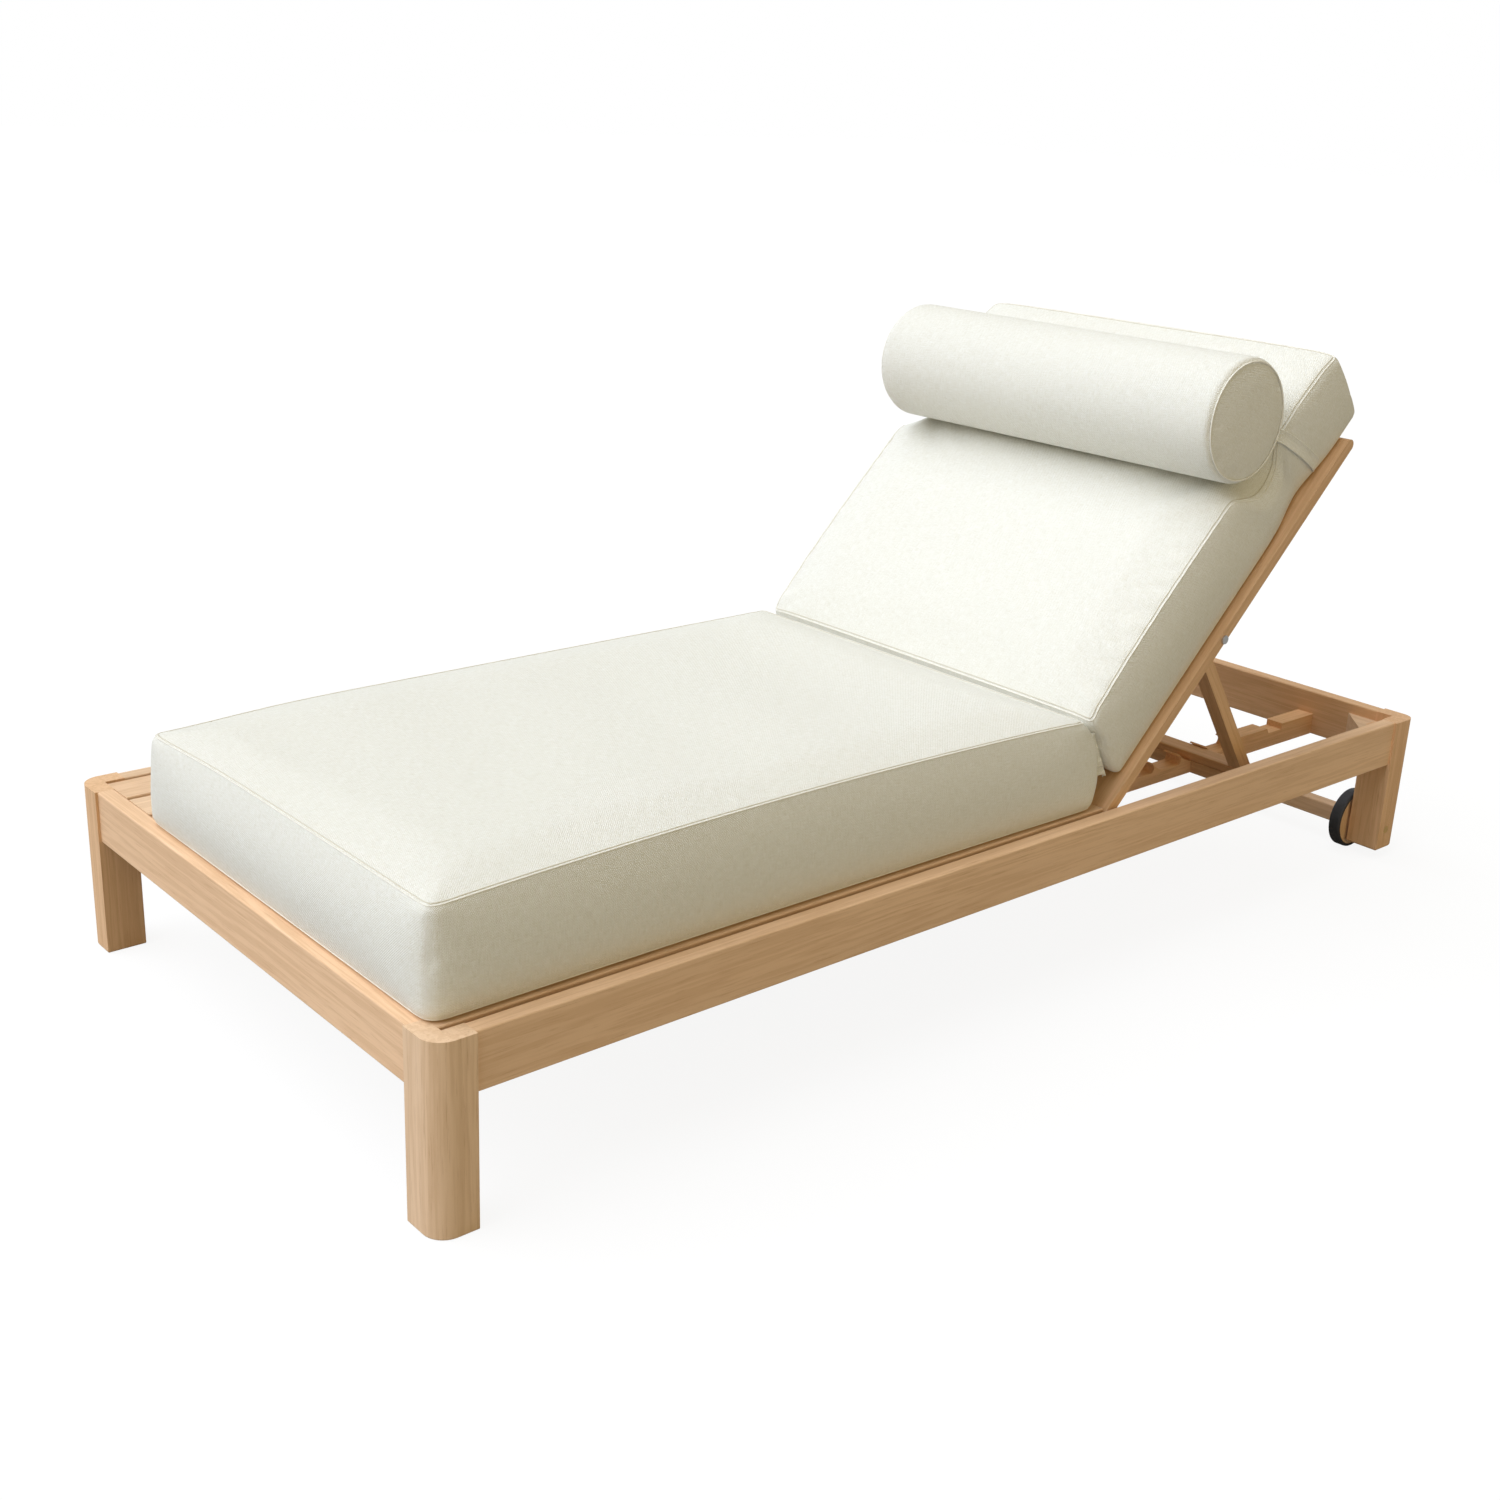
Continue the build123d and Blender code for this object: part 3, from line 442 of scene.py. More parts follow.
def new_object(name: str, points: Points, faces: Sequence[Sequence[int]], finish: Finish,
               uvs: Optional[np.ndarray] = None) -> bpy.types.Object:
    """Makes a smooth mesh object at the origin.

    Args:
        name: the object's name.
        points: its vertices in millimetres.
        faces: the vertex numbers of each face.
        finish: its material.
        uvs: the weave's place in metres at each face corner, if it has one.

    Returns:
        The object, linked to the scene.
    """
    mesh = bpy.data.meshes.new(name)
    mesh.from_pydata((points * MM).tolist(), [], faces)
    if uvs is not None:
        layer = mesh.uv_layers.new(name="weave")
        layer.data.foreach_set("uv", np.asarray(uvs, dtype=np.float32).ravel())
    mesh.polygons.foreach_set("use_smooth", [True] * len(mesh.polygons))
    mesh.update()
    obj = bpy.data.objects.new(name, mesh)
    bpy.context.scene.collection.objects.link(obj)
    mesh.materials.append(finish.build())
    log.info("made %s with %d faces", name, len(faces))
    return obj


def read_points(mesh: bpy.types.Mesh) -> Points:
    """A mesh's places, in millimetres."""
    flat = np.empty(len(mesh.vertices) * 3)
    mesh.vertices.foreach_get("co", flat)
    return flat.reshape(-1, 3) / MM


def shown_points(obj: bpy.types.Object) -> Points:
    """Reads a piece with its modifiers on.

    Args:
        obj: the piece.

    Returns:
        The places of its own vertices, in millimetres.
    """
    bpy.context.view_layer.update()
    shown = obj.evaluated_get(bpy.context.evaluated_depsgraph_get())
    return read_points(shown.to_mesh())[:len(obj.data.vertices)]


def flip_outward(obj: bpy.types.Object) -> None:
    """Turns a closed mesh's faces outward if its signed volume is negative.

    Args:
        obj: the piece.
    """
    mesh = obj.data
    mesh.calc_loop_triangles()
    corners = np.empty(len(mesh.loop_triangles) * 3, dtype=np.int32)
    mesh.loop_triangles.foreach_get("vertices", corners)
    a, b, c = read_points(mesh)[corners.reshape(-1, 3)].transpose(1, 0, 2)
    if float(np.einsum("ij,ij->", a, np.cross(b, c))) < 0:
        mesh.flip_normals()


def subdivide(obj: bpy.types.Object) -> None:
    """Adds one level of subdivision.

    Args:
        obj: the piece.
    """
    smooth = obj.modifiers.new("smooth", "SUBSURF")
    smooth.levels = 1
    smooth.render_levels = 1


def tube(name: str, path: Points, radius: float, finish: Finish,
         sides: int = 8) -> bpy.types.Object:
    """Makes a round cord along a closed path.

    Each ring lies square to the path's direction, and its first corner stands square to a fixed
    direction that no cord follows.

    Args:
        name: the object's name.
        path: places along the cord, in millimetres.
        radius: the cord's radius.
        finish: its material.
        sides: corners of its section.

    Returns:
        The cord's object.
    """
    ahead = np.roll(path, -1, axis=0) - np.roll(path, 1, axis=0)
    ahead /= np.maximum(np.linalg.norm(ahead, axis=1, keepdims=True), 1e-9)
    up = np.cross(ahead, np.array([0.31, 0.22, 0.92]))
    up /= np.maximum(np.linalg.norm(up, axis=1, keepdims=True), 1e-9)
    side = np.cross(ahead, up)
    turns = np.arange(sides) * 2 * pi / sides
    rings = (path[:, None] + radius * (np.cos(turns)[None, :, None] * up[:, None]
                                       + np.sin(turns)[None, :, None] * side[:, None]))
    cells = lattice(len(path), sides, True)
    uvs = np.repeat(cells[:, :1], 4, axis=1) * (0.008, 0.001)
    faces = numbered(cells, len(path), sides).tolist()
    return new_object(name, rings.reshape(-1, 3), faces, finish, uvs)


def bell(value: np.ndarray, middle: float, width: float) -> np.ndarray:
    """A smooth hump of height 1: exp of minus the squared distance over the width."""
    return np.exp(-((value - middle) / width) ** 2)


def slope_to_world(x: np.ndarray, along: np.ndarray, out: np.ndarray) -> Points:
    """From the backrest's slope at 45 degrees to the object's frame."""
    run = 0.5 ** 0.5
    return np.column_stack([x, HINGE[0] + (along - out) * run, HINGE[1] + (along + out) * run])


def ripple(points: Points, size: float, seed: int) -> np.ndarray:
    """Smooth unevenness between about minus 1 and 1: a sum of six fixed waves.

    Args:
        points: where to read it, in millimetres.
        size: the waves' middle length.
        seed: sets the waves' directions.

    Returns:
        The unevenness at each place.
    """
    rng = np.random.default_rng(seed)
    total = np.zeros(len(points))
    for _ in range(6):
        way = rng.normal(size=3)
        way /= np.linalg.norm(way)
        wave = size * rng.uniform(0.6, 1.6)
        total += np.sin(points @ way * (2 * pi / wave) + rng.uniform(0, 2 * pi))
    return total / 3.2


# Cushions

def stations(size: float, edge: Sequence[float], step: float) -> np.ndarray:
    """Places along one side of a cushion, close together at both ends.

    Args:
        size: the side's length in millimetres.
        edge: distances of the close places from each end.
        step: the spacing between the rest, at most.

    Returns:
        Places from minus half the size to plus half of it.
    """
    first = edge[-1]
    count = max(2, int(np.ceil((size - 2 * first) / step)))
    middle = np.linspace(first, size - first, count + 1)
    low = np.asarray(edge[:-1], dtype=float)
    return np.concatenate([low, middle, size - low[::-1]]) - size / 2


class BoxForm:
    """A closed grid over a box, whose rows follow its edges."""

    def __init__(self, places: Sequence[np.ndarray]) -> None:
        """Numbers the vertices in the order in which the six sides' faces name them.

        Args:
            places: the grid's places along x, y and z, in millimetres.
        """
        self.places = places
        self.last = [len(place) - 1 for place in places]
        sides = [self.side(axis, end) for axis in range(3) for end in (0, self.last[axis])]
        corners = np.concatenate([corner for corner, _ in sides])
        self.uvs = np.concatenate([cloth for _, cloth in sides])
        _, first, same = np.unique(corners.reshape(-1, 3), axis=0,
                                   return_index=True, return_inverse=True)
        order = np.argsort(first)
        self.keys = corners.reshape(-1, 3)[first[order]]
        self.faces = np.argsort(order)[same.ravel()].reshape(-1, 4)
        self.number = np.full([len(place) for place in places], -1)
        self.number[tuple(self.keys.T)] = np.arange(len(order))

    def side(self, axis: int, end: int) -> Tuple[np.ndarray, np.ndarray]:
        """Lists one side's faces, with their corners counter-clockwise from outside.

        Args:
            axis: the axis that the side is square to.
            end: the side's place along it, the first or the last.

        Returns:
            Each corner's place in the grid, and its place on the cloth in metres.
        """
        one, two = (axis + 1) % 3, (axis + 2) % 3
        ring = [0, 3, 2, 1] if end else [1, 2, 3, 0]
        cells = lattice(self.last[one], self.last[two] + 1, False)[:, ring]
        corners = np.full(cells.shape[:2] + (3,), end)
        corners[..., one], corners[..., two] = cells[..., 0], cells[..., 1]
        cloth = np.stack([self.places[one][cells[..., 0]] * MM + 0.37 * axis,
                          self.places[two][cells[..., 1]] * MM + 0.61 * axis], axis=-1)
        return corners, cloth

    def grid(self) -> Points:
        """Every vertex's place on the sharp box, in millimetres."""
        return np.stack([self.places[axis][self.keys[:, axis]] for axis in range(3)], axis=1)

    def edge_ring(self, top: bool, inset: int = 0) -> np.ndarray:
        """Follows the top or bottom edge.

        Args:
            top: True for the top.
            inset: how many rows inside the edge to run.

        Returns:
            The vertex numbers round it, in order.
        """
        high_i, high_j = self.last[0] + 1 - inset, self.last[1] + 1 - inset
        face = self.number[inset:high_i, inset:high_j, self.last[2] if top else 0]
        return np.concatenate([face[:-1, 0], face[-1, :-1], face[:0:-1, -1], face[0, :0:-1]])


def rounded(points: Points, half: Sequence[float], corner: float,
            seam: float) -> Tuple[Points, Points]:
    """Rounds a box: its upright edges by one radius, then its top and bottom edges by another.

    In the corner's square, a ring of constant larger coordinate becomes a circle of that radius.
    The same map, on the way in from the side and the way down from the top, rounds the seams.

    Args:
        points: places on the sharp box.
        half: half of its sizes.
        corner: radius of the upright edges in plan.
        seam: radius of the top and bottom edges.

    Returns:
        The rounded places, and the outward direction in plan at each.
    """
    x, y, z = points.T
    inner_x = np.clip(x, corner - half[0], half[0] - corner)
    inner_y = np.clip(y, corner - half[1], half[1] - corner)
    way_x, way_y = x - inner_x, y - inner_y
    size = np.hypot(way_x, way_y)
    large = np.maximum(np.abs(way_x), np.abs(way_y))
    safe = np.where(size > 0, size, 1.0)
    ratio = np.where(size > 0, large / safe, 1.0)
    out = np.stack([way_x / safe, way_y / safe], axis=1)
    edge = np.minimum(half[0] - np.abs(x), half[1] - np.abs(y))
    over = np.clip(seam - edge, 0, seam)
    up = np.clip(np.abs(z) - (half[2] - seam), 0, seam)
    length = np.hypot(over, up)
    near = np.maximum(over, up)
    shrink = np.where(length > 0, near / np.where(length > 0, length, 1.0), 1.0)
    back = np.where(edge < seam, seam - over * shrink - edge, 0.0)
    tall = np.where(up > 0, half[2] - seam + up * shrink, np.abs(z))
    flat = np.stack([inner_x + way_x * ratio, inner_y + way_y * ratio], axis=1)
    return np.column_stack([flat - out * back[:, None], np.sign(z) * tall]), out


@dataclass(frozen=True)
class Padding:
    """How a soft piece is blown up: as cloth, without gravity, from frame 1 to the last."""

    pressure: float = 4.0
    cap: float = 7.0
    last: int = 20
    mass: float = 0.35
    stretch: float = 18.0
    shear: float = 8.0
    bend: float = 1.2

    def puff(self, obj: bpy.types.Object, held: np.ndarray) -> None:
        """Blows a piece up, and keeps each point within the cap of where it was.

        Args:
            obj: the piece, a closed mesh.
            held: True for the vertices that stay where they are.
        """
        before = read_points(obj.data)
        group = obj.vertex_groups.new(name="held")
        group.add(np.flatnonzero(held).tolist(), 1.0, "REPLACE")
        cloth = obj.modifiers.new("cloth", "CLOTH")
        settings = cloth.settings
        settings.quality = 5
        settings.mass = self.mass
        settings.tension_stiffness = self.stretch
        settings.compression_stiffness = self.stretch
        settings.shear_stiffness = self.shear
        settings.bending_stiffness = self.bend
        settings.use_pressure = True
        settings.uniform_pressure_force = self.pressure
        settings.effector_weights.gravity = 0
        settings.vertex_group_mass = "held"
        cloth.point_cache.frame_start = 1
        cloth.point_cache.frame_end = self.last
        scene = bpy.context.scene
        for step in range(1, self.last + 1):
            scene.frame_set(step)
        shown = obj.evaluated_get(bpy.context.evaluated_depsgraph_get())
        moved = read_points(shown.to_mesh()) - before
        obj.modifiers.remove(cloth)
        obj.vertex_groups.clear()
        scene.frame_set(1)
        size = np.linalg.norm(moved, axis=1)
        keep = np.minimum(1.0, self.cap / np.maximum(size, 1e-6))
        log.info("%s moved up to %.1f mm", obj.name, float(size.max()))
        after = before + moved * keep[:, None]
        obj.data.vertices.foreach_set("co", (after * MM).ravel())
        obj.data.update()


@dataclass
class Cushion:
    """A boxed cushion: two panels joined by a band, blown up, with cords along its seams.

    Each kind gives its sizes in millimetres and a shape for its rounded box.
    """

    name: str
    node: str
    body: str
    size: Tuple[float, float, float]
    corner: float
    seam: float
    step: float = 11.0
    edges: Sequence[float] = (0.0, 2.5, 5.5, 9.0, 13.0)
    stitch_shade: int = 2
    cord: float = 0.95
    fill: float = 0.85

    def shape(self, soft: Points, out: Points) -> Points:
        """Where the rounded box's points lie on the cushion."""
        raise NotImplementedError

    def build(self) -> bpy.types.Object:
        """Makes the cushion and its seam cords.

        Returns:
            The cushion's object.
        """
        form = BoxForm([stations(size, self.edges, self.step) for size in self.size])
        sharp = form.grid()
        half = [size / 2 for size in self.size]
        points = self.shape(*rounded(sharp, half, self.corner, self.seam))
        obj = new_object(self.name, points, form.faces.tolist(), IVORY, form.uvs)
        ring = form.edge_ring(True)
        held = sharp[:, 2] < 0.5 - half[2]
        held[ring] = True
        Padding().puff(obj, held)
        subdivide(obj)
        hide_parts(self.node)
        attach(obj, self.body)
        surface = shown_points(obj)
        # The top and bottom seam cords take the lighter cord ivory, a painted highlight along the
        # seams.
        lines = {"top": (ring, IVORY_LIT_CORD),
                 # Painted shade: the cord two rows inside the top seam is the darker ivory, the
                 # shade in the seam's groove.
                 "stitch_shade": (form.edge_ring(True, self.stitch_shade), SHADE),
                 "low": (form.edge_ring(False), IVORY_LIT_CORD)}
        for label, (which, finish) in lines.items():
            cord = tube(self.name + "_seam_" + label, surface[which], self.cord, finish)
            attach(cord, self.body)
        return obj


@dataclass
class Mattress(Cushion):
    """The seat mattress, whose head end gives way to the back cushion."""

    name: str = "mattress_cloth"
    node: str = "seat_mattress"
    body: str = "mattress"
    size: Tuple[float, float, float] = (735.0, 1146.0, 144.0)
    corner: float = 20.0
    seam: float = 14.0
    across: float = 82.5
    middle: float = -402.0
    shift: float = -7.5
    bottom: float = 258.2
    top: float = 399.0
    crown: float = 6.0
    droop: float = 9.0
    bulge: float = 3.5
    foot_bulge: float = 8.0
    push_start: float = 60.0
    push_end: float = 171.0
    push_levels: Sequence[float] = (258.0, 262.0, 302.0, 352.0, 378.0, 400.0, 420.0)
    push_limits: Sequence[float] = (164.0, 169.0, 178.0, 174.0, 161.0, 141.0, 134.0)

    def shape(self, soft: Points, out: Points) -> Points:
        """Crowns the mattress, lowers its ends and presses its head end.

        The top seam is a parabola along the mattress, higher at the near side, and the crown falls
        as the fourth and sixth powers towards the sides and ends. The sides bulge more towards the
        bottom. Past the start of the push, the share of the way to the box's end, squared, draws
        the end in to the limit for the height.

        Args:
            soft: places on the rounded box.
            out: the outward direction in plan at each.

        Returns:
            The places in the object's frame.
        """
        x, y, z = soft.T
        half_x, half_y, half_z = (size / 2 for size in self.size)
        u, v, w = x / half_x, y / half_y, z / half_z
        rise = (w + 1) / 2
        near = (u + 1) / 2
        seam_top = self.top + 1.5 * (1 - v ** 2) + near * (4.0 + 12.0 * (1 - v ** 2))
        crown = self.crown * np.clip(1 - u ** 4, 0, 1) * np.clip(1 - v ** 6, 0, 1)
        crown += 2.5 * ripple(soft, 420.0, 3) * (1 - u ** 4)
        droop = self.droop * np.exp(-((x + half_x) ** 2 + (y + half_y) ** 2) / 150.0 ** 2)
        high = seam_top + crown - droop
        level = self.bottom + rise * (high - self.bottom)
        bow = self.bulge * np.clip(1 - w ** 2, 0, 1) + self.foot_bulge * (1 - rise)
        bow -= 2.0 * np.cos(np.clip(v, -1, 1) * pi / 2) * (np.abs(u) > 0.97)
        wide_x = self.across + x + out[:, 0] * bow
        end_y = self.middle + y + out[:, 1] * bow
        limit = np.interp(level, self.push_levels, self.push_limits)
        share = np.clip((end_y - self.push_start) / (self.push_end - self.push_start), 0, 1)
        pushed = end_y - share ** 2 * (self.push_end - limit)
        return np.column_stack([wide_x, pushed + self.shift, level])


@dataclass
class BackCushion(Cushion):
    """The back cushion on the sloping backrest: a bowed panel, a waist and a head end."""

    name: str = "back_cloth"
    node: str = "back_cushion"
    body: str = "backrest"
    size: Tuple[float, float, float] = (720.0, 741.0, 140.0)
    corner: float = 13.0
    seam: float = 12.0
    start: float = 46.0
    base: float = 9.6
    shoulder: float = 62.0
    crown: float = 4.0
    bolster_at: float = 577.0
    waist_at: float = 605.0
    waist_wide: float = 60.0
    waist_draw: float = 13.0
    pucker_end: float = 470.0
    head_start: float = 680.0
    front_at: Sequence[float] = (46, 72, 170, 290, 400, 470, 495, 515, 545, 577, 612, 640, 680,
                                 705, 750, 787)
    front_high: Sequence[float] = (141, 149, 155, 158, 158, 157, 154, 146, 134, 128.5, 131, 138,
                                   150, 153, 149, 139)
    seam_at: Sequence[float] = (480, 495, 509, 520, 531, 547, 563, 580, 597, 606, 615, 625, 645)
    seam_high: Sequence[float] = (157, 131, 108, 90, 76, 67, 63, 63, 68, 82, 108, 128, 140)

    def shape(self, soft: Points, out: Points) -> Points:
        """Reads the front's height over the slats along the slope.

        At the waist the strap draws the front's side edges down on a quarter ellipse, to the line
        that the side seam follows. Sines along the slope pucker the edges below the waist.

        Args:
            soft: places on the rounded box.
            out: the outward direction in plan at each.

        Returns:
            The places in the object's frame.
        """
        x, y, z = soft.T
        half_x, half_s, half_z = (size / 2 for size in self.size)
        u, w = x / half_x, z / half_z
        along = y + half_s + self.start
        rise = (w + 1) / 2
        front = np.interp(along, self.front_at, self.front_high)
        seam = np.interp(along, self.seam_at, self.seam_high)
        reach_in = np.clip((np.abs(x) - half_x + self.shoulder) / self.shoulder, 0, 1)
        drop = np.clip(front - seam, 9.0, None) * (1 - np.sqrt(1 - reach_in ** 2))
        crown = self.crown * np.clip(1 - u ** 4, 0, 1)
        crown = crown * (1 - bell(along, self.bolster_at, self.waist_wide))
        edge = bell(np.abs(x), half_x - 26.0, 20.0)
        pucker = 1.7 * np.sin(along * (2 * pi / 43.0) + 2.1 * np.sin(along / 61.0))
        pucker = pucker * edge * (along < self.pucker_end)
        height = self.base + rise * (front - drop + crown + pucker - self.base)
        waist = self.waist_draw * bell(along, self.waist_at, self.waist_wide)
        bow = 5.0 * np.clip(1 - w ** 2, 0, 1)
        reach = x * (1 - waist / half_x) + out[:, 0] * bow
        slant = 27.0 * rise * np.clip(1 - (along - self.start) / 160.0, 0, 1)
        foot = np.clip(1 - (along - self.start) / 40.0, 0, 1)
        slant += 14.0 * np.clip(1 - rise / 0.35, 0, 1) ** 2 * foot
        tip = (13.0 * (1 - rise) - 6.0) * np.clip((along - self.head_start) / 107.0, 0, 1)
        return slope_to_world(BAY_X + reach, along + slant - tip + out[:, 1] * bow * 0.5, height)


@dataclass
class Bolster:
    """The round bolster: a tube of cloth, a disc sewn into each end, and piping round the discs."""

    low: float = -248.0
    high: float = 451.0
    radius: float = 95.5
    along: float = 577.0
    out: float = 227.0
    edge: float = 11.0
    dome: float = 4.0
    disc_rows: int = 9
    body_rows: int = 56
    around: int = 96
    piping: float = 1.3
    piping_points: int = 120

    def profile(self) -> np.ndarray:
        """The outline from the middle of the far end to the middle of the near one.

        Each disc is domed as a parabola, and a quarter circle joins it to the straight tube.

        Returns:
            The radius and the place across of each ring.
        """
        flat = self.radius - self.edge
        row = np.arange(self.disc_rows + 1.0)
        turn = np.array([0.4, 0.8, 1.2])
        rim = self.low + self.dome + self.edge
        end = np.concatenate([
            np.column_stack([flat * row / self.disc_rows,
                             self.low + self.dome * (row / self.disc_rows) ** 2]),
            np.column_stack([flat + self.edge * np.sin(turn), rim - self.edge * np.cos(turn)])])
        body = np.linspace(rim, self.high - self.dome - self.edge, self.body_rows)
        tube_rows = np.column_stack([np.full(self.body_rows, self.radius), body])
        other = np.column_stack([end[::-1, 0], self.low + self.high - end[::-1, 1]])
        return np.concatenate([end, tube_rows, other])

    def build(self) -> None:
        """Makes the bolster, blows it up a little and adds its piping.

        The rings stand square to its length, their undersides a little flat. The discs' cloth is
        laid flat, the tube's is unrolled.
        """
        profile = self.profile()
        radius, place = profile[1:-1, :1], profile[1:-1, 1:]
        turns = np.arange(self.around) * 2 * pi / self.around
        across, away = radius * np.cos(turns), radius * np.sin(turns)
        sag = 1.0 - 0.012 * np.clip(-np.sin(turns), 0, 1)
        rings = np.stack([np.broadcast_to(place, across.shape), self.along + across,
                          self.out + away * sag], axis=-1)
        tips = [(profile[0, 1], self.along, self.out), (profile[-1, 1], self.along, self.out)]
        world = slope_to_world(*np.concatenate([rings.reshape(-1, 3), tips]).T)

        rows, count = across.shape
        cells = lattice(rows - 1, count, True)
        i, j = cells[..., 0], cells[..., 1]
        unrolled = np.stack([place[i, 0] * MM, j * (2 * pi * self.radius * MM / count)], axis=-1)
        cut = np.stack([across[i, j % count], away[i, j % count]], axis=-1) * MM
        on_disc = (i[:, :1] < self.disc_rows) | (i[:, :1] > rows - self.disc_rows - 2)
        uvs = np.where(on_disc[..., None], cut, unrolled)

        here = np.arange(count)
        following, last, tip = np.roll(here, -1), (rows - 1) * count, np.full(count, rows * count)
        fans = np.stack([tip, following, here, tip + 1, last + here, last + following], axis=1)
        rim = np.stack([across[0], away[0]], axis=1) * MM
        middle, after = np.zeros_like(rim), np.roll(rim, -1, axis=0)
        fan_uvs = np.stack([middle, after, rim, middle, rim, after], axis=1)
        faces = numbered(cells, rows, count).tolist() + fans.reshape(-1, 3).tolist()
        uvs = np.concatenate([uvs.reshape(-1, 2), fan_uvs.reshape(-1, 2)])

        obj = new_object("bolster_cloth", world, faces, IVORY, uvs)
        flip_outward(obj)
        Padding(pressure=2.5, cap=2.5).puff(obj, np.zeros(len(world), dtype=bool))
        subdivide(obj)
        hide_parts("bolster")
        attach(obj, "backrest")
        for side, at in (("far", self.low + 4.4), ("near", self.high - 4.4)):
            turn = np.arange(self.piping_points) * 2 * pi / self.piping_points
            size = self.radius - 6.5
            path = slope_to_world(np.full(self.piping_points, at), self.along + size * np.cos(turn),
                                  self.out + size * np.sin(turn))
            # The piping takes the lighter cord ivory, a painted highlight round each end.
            cord = tube("bolster_piping_" + side, path, self.piping, IVORY_LIT_CORD)
            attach(cord, "backrest")


@dataclass
class Strap:
    """The flat strap round the cushion's waist, which leans back towards the slats at the sides."""

    wide: float = 21.0
    thick: float = 2.4
    front_along: float = 626.0
    back_along: float = 664.0
    top: float = 146.0
    bottom: float = 10.4
    half: float = 350.0
    turn: float = 20.0
    count: int = 26
    bends: int = 9
    join: float = 10.0

    def centre(self) -> Tuple[Points, Points]:
        """Runs a round-cornered rectangle about the cushion, leaning back towards the slats.

        Returns:
            Places across, along and out from the slope, and unit directions in the same three.
        """
        low, high = self.bottom, self.top
        hub, under, over = self.half - self.turn, low + self.turn, high - self.turn
        hubs = ((hub, under, -0.5), (hub, over, 0.0), (-hub, over, 0.5), (-hub, under, 1.0))
        across, out, way = [], [], []
        for index, (hub_x, hub_z, start) in enumerate(hubs):
            next_x, next_z, _ = hubs[(index + 1) % len(hubs)]
            angles = (start + np.linspace(0, 0.5, self.bends)) * pi
            bend_x, bend_z = self.turn * np.cos(angles), self.turn * np.sin(angles)
            steps = np.linspace(0, 1, self.count)[1:-1]
            last_x, last_z = hub_x + bend_x[-1], hub_z + bend_z[-1]
            across += [hub_x + bend_x, last_x + steps * (next_x + bend_x[-1] - last_x)]
            out += [hub_z + bend_z, last_z + steps * (next_z + bend_z[-1] - last_z)]
            turned = np.column_stack([np.cos(angles), np.zeros(self.bends), np.sin(angles)])
            way += [turned, np.repeat(turned[-1:], len(steps), axis=0)]
        x, z = np.concatenate(across), np.concatenate(out)
        lean = (high - z) / (high - low)
        along = self.front_along + lean * (self.back_along - self.front_along)
        return np.column_stack([x, along, z]), np.concatenate(way)

    def laid(self, path: Points, way: Points, cloth: bpy.types.Object) -> Points:
        """Draws the path in until it lies on the cushion, by rays from outside, and evens it.

        Args:
            path: places across, along and out from the slope.
            way: the outward direction at each.
            cloth: the cushion.

        Returns:
            The path on the cushion. Behind the cushion it stays as it was.
        """
        bpy.context.view_layer.update()
        tree = BVHTree.FromObject(cloth, bpy.context.evaluated_depsgraph_get())
        laid = path.copy()
        far = path + way * 60.0
        starts = slope_to_world(BAY_X + far[:, 0], *far[:, 1:].T) * MM
        tips = slope_to_world(*way.T) - slope_to_world(*np.zeros((3, len(way))))
        for row, (start, tip) in enumerate(zip(starts, tips)):
            hit, _, _, distance = tree.ray_cast(Vector(start), -Vector(tip))
            if hit is not None and way[row, 2] > -0.7:
                laid[row] = far[row] - way[row] * (distance / MM - 1.0)
        for _ in range(3):
            laid = (np.roll(laid, 1, axis=0) + 2 * laid + np.roll(laid, -1, axis=0)) / 4
        return laid

    def build(self, cloth: bpy.types.Object) -> None:
        """Makes the strap over a cushion: a closed band with a hem along both edges.

        Its section stands square to the path at each place. A hem's corners are given in
        millimetres from the edge and as shares of the thickness.

        Args:
            cloth: the cushion.
        """
        path, way = self.centre()
        path = self.laid(path, way, cloth)
        ahead = np.roll(path, -1, axis=0) - np.roll(path, 1, axis=0)
        ahead /= np.linalg.norm(ahead, axis=1, keepdims=True)
        way -= ahead * np.sum(way * ahead, axis=1, keepdims=True)
        way /= np.linalg.norm(way, axis=1, keepdims=True)
        side = np.cross(way, ahead)
        edge = np.array([(0, 0), (0, 0.8), (0.6, 1), (1.8, 1), (2.4, 0.78)])
        left = edge * (1, self.thick) - (self.wide / 2, 0)
        section = np.concatenate([left, left[::-1] * (-1, 1)])
        grid = (path[:, None] + section[:, 0, None] * side[:, None]
                + section[:, 1, None] * way[:, None])
        flat = grid.reshape(-1, 3)
        world = slope_to_world(BAY_X + flat[:, 0], *flat[:, 1:].T)
        rows, cols = len(path), len(section)
        steps = np.linalg.norm(np.diff(path, axis=0), axis=1)
        length = np.concatenate([[0.0], np.cumsum(steps)])
        length = np.append(length, length[-1] + self.join)
        cells = lattice(rows, cols, True)[:, [0, 3, 2, 1]]
        uvs = np.stack([length[cells[..., 0]], section[cells[..., 1] % cols, 0]], axis=-1) * MM
        faces = numbered(cells, rows, cols).tolist()
        strap = new_object("bolster_strap_cloth", world, faces, IVORY, uvs)
        flip_outward(strap)
        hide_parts("bolster_strap")
        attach(strap, "backrest")
        log.info("strap %.0f mm long laid flat", length[-2])


